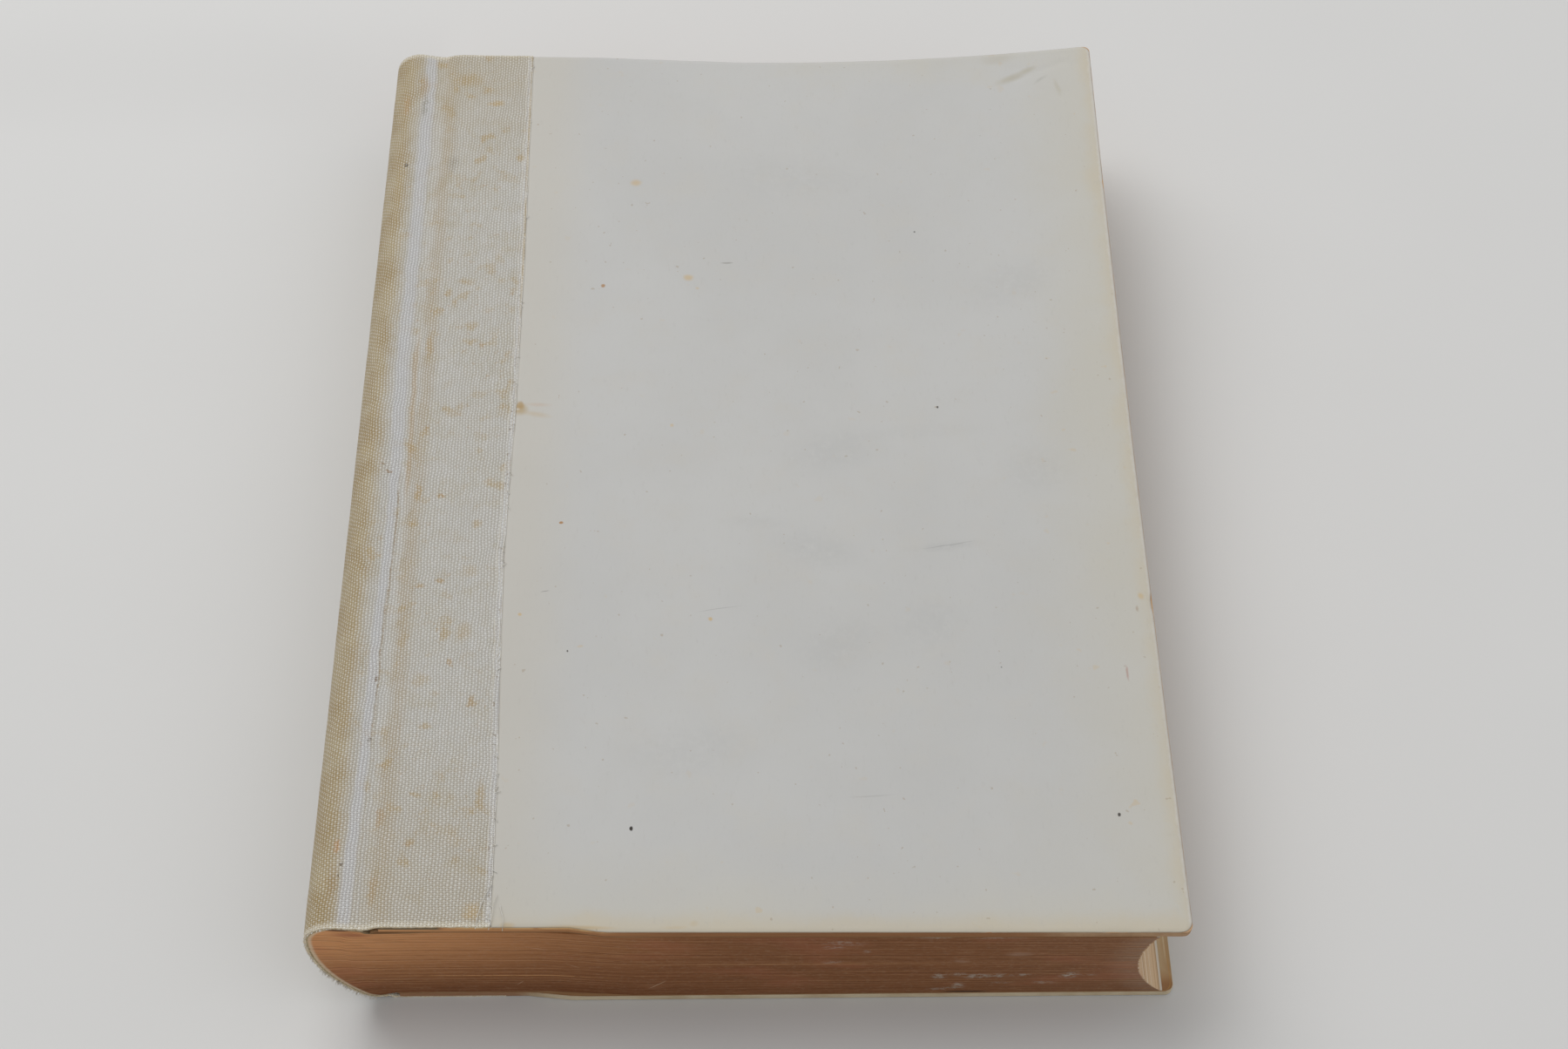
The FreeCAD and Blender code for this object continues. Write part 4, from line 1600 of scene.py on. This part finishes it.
class Linen(Finish):
    """The linen's material. It keeps its patterns, for the steps that colour it."""

    def __init__(self, name):
        super().__init__(name, (201, 199, 193))
        self.across, self.along, self.sheet = self.flat()
        self.wander = self.cloud(self.sheet, 6, 2.0)
        wander_too = self.cloud(self.sheet, 8, 2.0, 0.5, (1, 1.3, 1))
        self.warp_tone = self.cloud(self.sheet, 0.62, 3.0, 0.65, (1, 5, 1))
        self.weft_tone = self.cloud(self.sheet, 0.5, 3.0, 0.65, (6, 1, 1))
        warp = ((self.across + (self.wander - 0.5) * 1.1) * (math.pi / warp_pitch)).sine()
        weft = ((self.along + (wander_too - 0.5) * 1.3) * (math.pi / weft_pitch)).sine()
        self.over = warp * weft
        warp_height = abs(warp) * (0.60 + self.over * 0.38) * (0.72 + self.warp_tone * 0.56)
        weft_height = abs(weft) * (0.48 - self.over * 0.38) * (0.72 + self.weft_tone * 0.56)
        self.weave = warp_height.most(weft_height)
        self.gaps = self.weave.rise(0.50, 0.16)
        self.stained = 0.88 + self.gaps * 0.55
        self.clouds = self.cloud(self.sheet, 22, 3.0, 0.6)
        self.patches = self.cloud(self.sheet, 8, 4.0, 0.62)
        self.foxed = self.cloud(self.sheet, 4.2, 2.0, 0.5)
        self.small = self.cloud(self.sheet, 1.5, 2.0, 0.55)


front_cloth, back_cloth = Linen("front linen"), Linen("back linen")
print("threads", warp_pitch, "and", weft_pitch, "mm apart")

# %% [markdown]
# Dirt settles in the gaps between the threads, so every stain is stronger there. Both halves of
# the strip age in the same way: cloudy toning, a tan band where the joint bends, more of it
# towards both ends, foxing, and ochre on the rounded back.


# %% Age the linen
def age(cloth):
    across, patches, stained = cloth.across, cloth.patches, cloth.stained
    cloth.tint(cloth.clouds.rise(0.3, 0.7), (196, 192, 181))
    cloth.tint(patches.rise(0.50, 0.72) * 0.45, (184, 172, 142))
    cloth.tint(cloth.warp_tone.rise(0.42, 0.72) * 0.45, (212, 211, 209))
    from_joint = abs(across - 2.4 + (cloth.clouds - 0.5) * 2.6 + (patches - 0.5) * 3.4)
    joint = from_joint.rise(2.8, 0.2) * (0.10 + patches * 0.75) * stained
    cloth.tint(joint.least(1.0) * 0.72, (172, 148, 106))
    from_middle = abs(cloth.along - book_height / 2) + (patches - 0.5) * 20
    cloth.tint(from_middle.rise(62, 108) * 0.42, (180, 164, 130))
    mask = cloth.clouds.rise(0.38, 0.58)
    foxing = cloth.foxed.rise(0.54, 0.72) * mask * stained * 0.55
    cloth.tint(foxing.least(1.0), tan_ochre)
    cloth.tint(cloth.small.rise(0.60, 0.76) * mask * stained * 0.40, (180, 142, 90))
    on_spine = (across + (cloth.foxed - 0.5) * 2).rise(-3.4, -8.0) * stained
    spine_tone = cloth.mix(patches.rise(0.35, 0.65), paint(182, 164, 124), paint(166, 142, 94))
    cloth.tint(on_spine.least(1.0) * 0.92, spine_tone)
    # Painted sheen: the cloth is lightened where the rounded back turns away towards its outline.
    sheen_on_far_round = (across + (patches - 0.5) * 2).rise(-10, -17)
    cloth.tint(sheen_on_far_round * 0.6, (200, 186, 156))


tan_ochre = (182, 152, 90)
for cloth in (front_cloth, back_cloth):
    age(cloth)
print("aged, nodes so far", len(front_cloth.tree.nodes), len(back_cloth.tree.nodes))

# %% [markdown]
# On the front, hands and shelves have rubbed the ridge clean, and its crest is painted as if it
# caught the light: the pale stripe along it is partly wear and partly a painted highlight. It
# leans a little to one side halfway up, and it is wider at both ends. A fine line of painted
# shade, where the groove lies, and a tan line run beside it.

# %% Rub the ridge and paint its highlight
across, along, small = front_cloth.across, front_cloth.along, front_cloth.small
sideways = along.rise(60, 80) * along.rise(118, 100) * 0.55
from_stripe = across + 2.75 - sideways + along.rise(40, 8) * 0.8 + (front_cloth.wander - 0.5) * 0.5
stripe_width = 1.0 + along.rise(92, 104) * 0.55 + along.rise(40, 8) * 0.35
# Painted highlight: a pale bluish stripe along the crest, where the linen is also rubbed clean.
worn_and_lit_stripe = (abs(from_stripe) / stripe_width).rise(1.25, 0.35) * (0.62 + front_cloth.warp_tone * 0.5)
front_cloth.tint(worn_and_lit_stripe.least(1.0) * 0.85, (207, 208, 211))
beside = abs(from_stripe - 2.1).rise(0.7, 0.1) * along.rise(112, 92) * 0.30
front_cloth.tint(beside, (204, 203, 200))
# Painted shade: a fine dark line beside the stripe, where the groove lies.
groove_shade_line = abs(from_stripe - 1.15 + (small - 0.5) * 0.5).rise(0.30, 0.06)
groove_shade_line = groove_shade_line * along.rise(30, 52) * along.rise(99, 90) * small.rise(0.30, 0.60)
front_cloth.tint(groove_shade_line * 0.6, (146, 122, 90))
tan_line = abs(from_stripe - 2.6 + (front_cloth.patches - 0.5) * 1.5).rise(0.9, 0.1)
tan_line = tan_line * along.rise(86, 98) * along.rise(136, 124)
front_cloth.tint(tan_line * 0.5, (180, 150, 104))
print("ridge rubbed, nodes so far", len(front_cloth.tree.nodes))

# %% [markdown]
# The larger stains are placed one by one on the flat strip: the first number is millimetres
# from the groove, towards the board, and the second is millimetres from the tail. The last
# steps are the hem's pale pulled threads, with dark dots between them, and a line of old glue.

# %% Stain the front linen
stains = [
    ((-6.3, 178.0), (0.55, 0.75), 0, 0.95, (78, 66, 44), 0.6),
    ((-2.2, 50.6), (0.55, 0.8), 0, 0.85, (118, 92, 66), 0.6),
    ((-2.3, 38.0), (0.45, 0.7), 0, 0.85, (96, 80, 62), 0.6),
    ((-6.0, 16.5), (1.0, 1.6), 0, 0.7, (196, 150, 104), 0.8),
    ((-6.2, 9.4), (1.6, 4.4), 0, 0.6, (166, 138, 92), 0.9),
    ((-4.9, 13.0), (0.35, 0.4), 0, 0.8, (96, 76, 52), 0.6),
    ((-5.1, 11.2), (0.3, 0.4), 0, 0.7, (96, 76, 52), 0.6),
    ((-4.6, 98.8), (0.4, 0.4), 0, 0.7, (140, 104, 60), 0.6),
    ((-3.4, 97.2), (0.6, 0.35), 0, 0.6, (150, 112, 66), 0.7),
    ((-4.0, 201.5), (1.6, 5.0), 0, 0.6, (180, 150, 100), 0.8),
    ((-3.4, 196.0), (0.6, 4.6), 0, 0.6, (150, 146, 130), 0.8),
    ((-7.4, 170.0), (1.6, 12.0), 0, 0.4, (184, 162, 116), 0.9),
    ((-7.4, 196.0), (1.2, 4.0), 0, 0.5, (186, 146, 92), 0.9),
    ((6.0, 203.0), (5.0, 3.0), 0, 0.5, tan_ochre, 0.9),
    ((12.5, 196.0), (2.6, 1.4), 0, 0.7, (196, 166, 110), 0.8),
    ((4.0, 178.0), (1.8, 3.4), 0, 0.5, (160, 152, 138), 0.9),
    ((9.0, 145.0), (2.8, 1.6), 0, 0.35, tan_ochre, 0.9),
    ((5.5, 142.0), (1.0, 1.4), 0, 0.5, tan_ochre, 0.8),
    ((2.6, 128.0), (1.1, 4.0), 0, 0.6, (182, 153, 102), 0.8),
    ((7.2, 112.0), (1.6, 1.2), 0, 0.5, tan_ochre, 0.9),
    ((3.0, 92.0), (0.9, 2.6), 0, 0.6, (181, 151, 98), 0.8),
    ((7.4, 91.0), (1.0, 0.9), 0, 0.75, (178, 144, 86), 0.8),
    ((8.4, 71.5), (1.2, 1.0), 0, 0.7, (178, 144, 86), 0.8),
    ((5.0, 70.4), (1.2, 0.9), 0, 0.6, (181, 149, 94), 0.8),
    ((14.6, 84.5), (1.4, 1.8), 0, 0.5, tan_ochre, 0.9),
    ((14.0, 74.0), (2.4, 1.8), 0, 0.3, tan_ochre, 0.9),
    ((6.4, 50.0), (2.4, 2.0), 0, 0.35, tan_ochre, 0.9),
    ((13.6, 60.0), (2.2, 3.0), 0, 0.35, tan_ochre, 0.9),
    ((11.6, 53.5), (0.8, 0.8), 0, 0.6, (176, 142, 86), 0.8),
    ((8.0, 40.0), (1.4, 1.2), 0, 0.5, tan_ochre, 0.9),
    ((16.0, 45.5), (1.0, 1.6), 0, 0.6, (177, 145, 88), 0.8),
    ((7.2, 26.0), (1.4, 1.0), 0, 0.5, tan_ochre, 0.9),
    ((6.6, 17.0), (1.4, 1.2), 0, 0.6, (180, 150, 100), 0.9),
    ((1.2, 22.0), (1.2, 2.6), 0, 0.5, (180, 146, 96), 0.9),
    ((1.0, 8.0), (1.4, 4.4), 0, 0.6, (178, 148, 98), 0.9),
    ((18.6, 26.0), (1.2, 4.4), 0, 0.5, tan_ochre, 0.9),
    ((18.4, 3.6), (2.6, 2.2), 0, 0.6, (200, 170, 116), 0.9),
]
spotted = front_cloth.shifted(
    front_cloth.sheet, (small - 0.5) * 0.0022, (front_cloth.foxed - 0.5) * 0.0028
)
front_cloth.marks(spotted, stains, (0.55 + small) * front_cloth.stained)
from_hem = front_cloth.value("from_hem")
hem = from_hem.rise(1.3, 0.4) * (0.25 + small * 1.1)
front_cloth.tint(hem.least(1.0) * 0.8, (212, 212, 212))
dots = from_hem.rise(1.2, 0.9) * from_hem.rise(0.1, 0.4) * small.rise(0.60, 0.68)
front_cloth.tint(dots * along.rise(160, 120) * 0.55, (138, 122, 98))
old_glue = from_hem.rise(0.75, 0.15) * along.rise(118, 150) * front_cloth.patches.rise(0.3, 0.5)
front_cloth.tint(old_glue * 0.6, (188, 164, 112))
print("stains", len(stains))

# %% [markdown]
# Last come the threads themselves. Where the warp lies on top a cell is lighter, where the weft
# does it is darker, and the gaps are darkest, which gives the staggered bumps of a plain weave.
# The weave is also the height of the bumps. A plain cream finish is for the cut end.


# %% Finish the linen
def finish_linen(cloth):
    wavy = cloth.along + (cloth.small - 0.5) * 0.8
    # Near both cut ends the linen is paler: partly its fluffed fibres, partly painted light that
    # lifts the shade there.
    fluffy_end_with_painted_light = wavy.rise(2.3, 1.2).most(wavy.rise(full_height - 1, full_height))
    cloth.tint(fluffy_end_with_painted_light * 0.75, (228, 220, 200))
    cloth.tint(cloth.gaps * 0.518, (110, 86, 50))
    weft_on_top = cloth.over.rise(-0.08, -0.55) * (0.02 + cloth.weft_tone * 0.50)
    cloth.tint(weft_on_top * 0.55, (120, 96, 60))
    cloth.tint(cloth.weave.rise(0.62, 0.92) * 0.42, (226, 225, 221))
    warp_on_top = cloth.over.rise(0.08, 0.60) * (0.02 + cloth.warp_tone * 0.44)
    cloth.tint(warp_on_top, (222, 221, 216))
    return cloth.done(0.9, 0.2, cloth.weave, 0.00020, 0.9, sheen=0.12)


cut_linen = Finish("cut end of the linen", (238, 228, 206))
fluff = cut_linen.cloud(cut_linen.place, 0.4, 3.0, 0.7)
cut_linen.tint(fluff.rise(0.35, 0.65), (212, 192, 156))
cut_finish = cut_linen.done(0.9, 0.2, fluff, 0.0001, 0.8)
for piece, cloth in ((front_linen, front_cloth), (back_linen, back_cloth)):
    dress(piece, finish_linen(cloth))
    piece.data.materials.append(cut_finish)

# %% [markdown]
# ## Lining of the back
#
# Under the linen a layer of gauze and glue holds the leaves. Only its cut edge shows, as a thin
# pale line between the leaves and the linen at the head and the tail.

# %% Finish the lining
gauze = Finish("glued lining", (196, 180, 148))
weft = gauze.cloud(gauze.place, 0.5, 3.0, 0.7)
gauze.tint(weft.rise(0.35, 0.7), (150, 124, 88))
dress(frame["nodes"]["spine_lining"], gauze.done(0.8, 0.25, weft, 0.00008, 0.7))

# %% [markdown]
# ## Loose threads
#
# Cut linen frays. Short fibres stand out along the cut at the tail, most where it runs down the
# back, and long threads have worked loose along the edge on the front board. Each is a thin
# curve with a round section, turned into a mesh, and the random bends come from a seeded
# generator, so they are the same in every run.


# %% Turn paths into threads
def threads(name, paths, radius):
    """Thin curves through the given points, in millimetres, as one mesh."""
    shape = bpy.data.curves.new(name, "CURVE")
    shape.dimensions = "3D"
    shape.bevel_depth = radius * MM
    shape.bevel_resolution = 0
    shape.resolution_u = 2
    shape.use_fill_caps = True
    for path in paths:
        spline = shape.splines.new("NURBS")
        spline.points.add(len(path) - 1)
        for point, place in zip(spline.points, path):
            point.co = (*(np.array(place) * MM), 1)
        spline.order_u = 3
        spline.use_endpoint_u = True
    piece = bpy.data.objects.new(name, shape)
    bpy.context.scene.collection.objects.link(piece)
    only(piece)
    bpy.ops.object.convert(target="MESH")
    piece = bpy.context.object
    piece.name = piece.data.name = name
    turn_outwards(piece)
    bpy.ops.object.shade_smooth()
    print(name, "has", len(paths), "threads")
    return piece


fibre_radius, nap_radius, hem_radius, loose_radius = 0.05, 0.022, 0.075, 0.06
print("threads from", 2 * nap_radius, "to", 2 * hem_radius, "mm thick")

# %% [markdown]
# The fibres of the fray start just under the cloth, so that they grow out of it, spread along
# its line at the tail and the head. Each bends sideways as it goes, more and more.

# %% Model the fray
luck = random.Random(11)


def fibres_along(line, y_end, direction, count, longest, from_share, to_share):
    """Short bent fibres that leave the linen's cut end, spread along its line."""
    made = []
    total = lengths(line)[-1]
    for _ in range(count):
        run = total * luck.uniform(from_share, to_share)
        (point,), (along,), (outward,) = outside_at(line, np.array([run]))
        sink = luck.uniform(0.1, 0.4)
        base = point - outward * sink
        reach = longest * luck.uniform(0.25, 1.0)
        curl = np.array([luck.uniform(-1, 1), luck.uniform(-0.2, 1.0)]) * reach * 0.7
        path = []
        for share in (0, 0.25, 0.5, 0.75, 1):
            aside = along * curl[0] * share**2 + outward * curl[1] * share**2
            at = base + aside + luck.uniform(-0.05, 0.05)
            y = y_end + direction * (reach * share * (1 - 0.35 * share) - 0.5 * (1 - share))
            path.append((at[0], y, at[1]))
        made.append(path)
    return made


tail_end, head_end = tail_y + tail_setback, book_high[1]
to_groove = 1 - 14 / lengths(front_line)[-1]
fray_paths = fibres_along(front_line, tail_end, -1, 60, 0.7, 0.0, to_groove)
fray_paths += fibres_along(back_line, tail_end, -1, 120, 0.9, 0.0, 0.55)
fray_paths += fibres_along(front_line, head_end, 1, 34, 0.6, 0.0, to_groove)
fray_paths += fibres_along(back_line, head_end, 1, 40, 0.6, 0.0, 0.55)
fray = threads("linen_fray", fray_paths, fibre_radius)
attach(fray, "text_block")

# %% [markdown]
# On the rounded back the cloth has a nap: short, very thin fibres that stand up from its face.
# They can be seen only against the light, along the outline of the spine.

# %% Raise the nap
nap_paths = []
for _ in range(150):
    run = luck.uniform(0.35, 0.80) * lengths(front_line)[-1]
    (point,), _along, (outward,) = outside_at(front_line, np.array([run]))
    y = luck.uniform(3, book_height - 3)
    reach, lean = luck.uniform(0.15, 0.45), luck.uniform(-0.6, 0.6)
    start = np.array([point[0], tail_y + y, point[1]])
    out = np.array([outward[0], 0, outward[1]])
    bend, tip = np.array([0, lean * 0.3, 0]), np.array([0, lean, 0])
    middle = start + out * reach * 0.6 + bend
    nap_paths.append([start - out * 0.1, middle, start + out * reach + tip])
nap = threads("linen_nap", nap_paths, nap_radius)
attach(nap, "text_block")

# %% [markdown]
# Along the hem on the front board the outermost threads of the warp have come away from the
# weave. Three of them run the whole length of the book, each with a waver of its own.

# %% Pull the hem's threads
hem_paths = []
for offset, height, waver in ((-0.30, -0.02, 0.20), (0.02, -0.10, 0.14), (-1.1, -0.02, 0.30)):
    y = np.arange(1.2, full_height - 0.6, 1.5)
    wave = np.array([noise.noise(Vector((v / 5.0, offset * 9, 0))) for v in y])
    swell = np.array([noise.noise(Vector((v / 9.0, offset * 9 + 4, 2))) for v in y])
    x = cloth_edge(front_joint_width, y) + offset + wave * waver * 1.6
    hem_paths.append(on_front(x, y, -(height + 0.06 * swell)))
hem_threads = threads("linen_hem_threads", hem_paths, hem_radius)
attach(hem_threads, "front_cover")

# %% [markdown]
# Three longer threads hang loose at the tail end of the hem, and short ends poke out from under
# it all along. Their paths are laid out flat on the cover, as x, y and depth, and then carried
# onto it.

# %% Loosen threads on the board
flat_paths = []
loose_ends = [(22.6, 7.0, -1.5, -0.9), (21.2, 9.0, -2.4, -0.5), (23.3, 5.0, 0.3, -1.4)]
for x_end, y_start, drift, drop in loose_ends:
    path = []
    for share in np.arange(7) / 6:
        x = x_end + drift * share + 0.25 * math.sin(5 * share + x_end)
        y = y_start * (1 - share) + (tail_setback - 0.3) * share
        depth = -0.22 - 0.12 * math.sin(math.pi * share) - (drop if share > 0.9 else 0) * 0.8
        path.append((x, y, depth))
    flat_paths.append(path)
for _ in range(46):
    y = luck.uniform(2, book_height - 2)
    x = float(cloth_edge(front_joint_width, np.array([y]))[0]) - luck.uniform(0.1, 1.0)
    reach, lean = luck.uniform(0.3, 1.1), luck.uniform(-1.6, 1.6)
    bend = (x + reach * 0.5, y + lean * 0.4, -0.22)
    flat_paths.append([(x, y, 0.05), bend, (x + reach, y + lean, -0.02)])
loose_paths = [on_front(*np.array(path).T) for path in flat_paths]
loose_threads = threads("linen_loose_threads", loose_paths, loose_radius)
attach(loose_threads, "front_cover")

# %% Finish the threads
yarn = Finish("linen yarn", (222, 220, 214))
fluff = yarn.cloud(yarn.place, 0.6, 3.0, 0.7)
yarn.tint(fluff.rise(0.35, 0.7), (206, 198, 182))
yarn_finish = yarn.done(0.9, 0.2, fluff, 0.00005, 0.6, sheen=0.1)
for piece in (fray, nap, hem_threads, loose_threads):
    dress(piece, yarn_finish)

# %% [markdown]
# ## The floor and the light
#
# The book is shown on a plain pale floor under soft light, mostly from above and a little from
# behind on the left, as in the photograph, where the tail is in gentle shade. The floor dips
# by 2.4 millimetres beside the spine, under where the back cover lies when it is opened flat,
# so that the opened cover doesn't sink into it. The dip is too shallow to see. The floor's
# grid is finest in the middle and widens outwards, so that the dip has points enough.

# %% Lay the floor
basin_depth = 2.4
floor = unit_sheet("floor", 220, 220)
unit = points_of(floor)
floor_size = 3200.0
spread = np.sinh((unit[:, :2] - 0.5) * 9) / np.sinh(4.5) / 2
x, y = spread[:, 0] * floor_size - 60, spread[:, 1] * floor_size
across = ease(x, -250, -212) * ease(x, -64, -74)
lengthways = ease(y, -150, -112) * ease(y, 150, 112)
put(floor, np.column_stack([x, y, -0.02 - basin_depth * across * lengthways]))
smooth(floor, 60)
stand = Finish("pale floor", (214, 213, 211))
grain = stand.cloud(stand.place, 60, 2.0)
stand.tint(grain, (217, 216, 214))
dress(floor, stand.done(0.9, 0.1))
print("floor", floor_size / 1000, "m wide")

# %% [markdown]
# A large lamp stands above and behind the book like a window, and a weaker one on the right
# fills the shade. The rest of the light is the same from everywhere and a little blue.

# %% Light the book
world = bpy.data.worlds.new("soft room")
bpy.context.scene.world = world
world.use_nodes = True
room_colour, room_strength = (0.97, 0.985, 1.0, 1), 0.39
room_light = world.node_tree.nodes["Background"].inputs
room_light["Color"].default_value = room_colour
room_light["Strength"].default_value = room_strength
lamps = [("window", (-0.55, 0.75, 1.25), 1.3, 15.9), ("fill", (0.8, -0.4, 1.2), 1.2, 3.3)]
for name, place, size, power in lamps:
    bpy.ops.object.light_add(type="AREA", location=place)
    lamp = bpy.context.object
    lamp.name = name
    lamp.data.size = size
    lamp.data.energy = power
    aim = Vector((0, 0, 0.015)) - Vector(place)
    lamp.rotation_euler = aim.to_track_quat("-Z", "Y").to_euler()
print("lamps", [name for name, *_ in lamps])
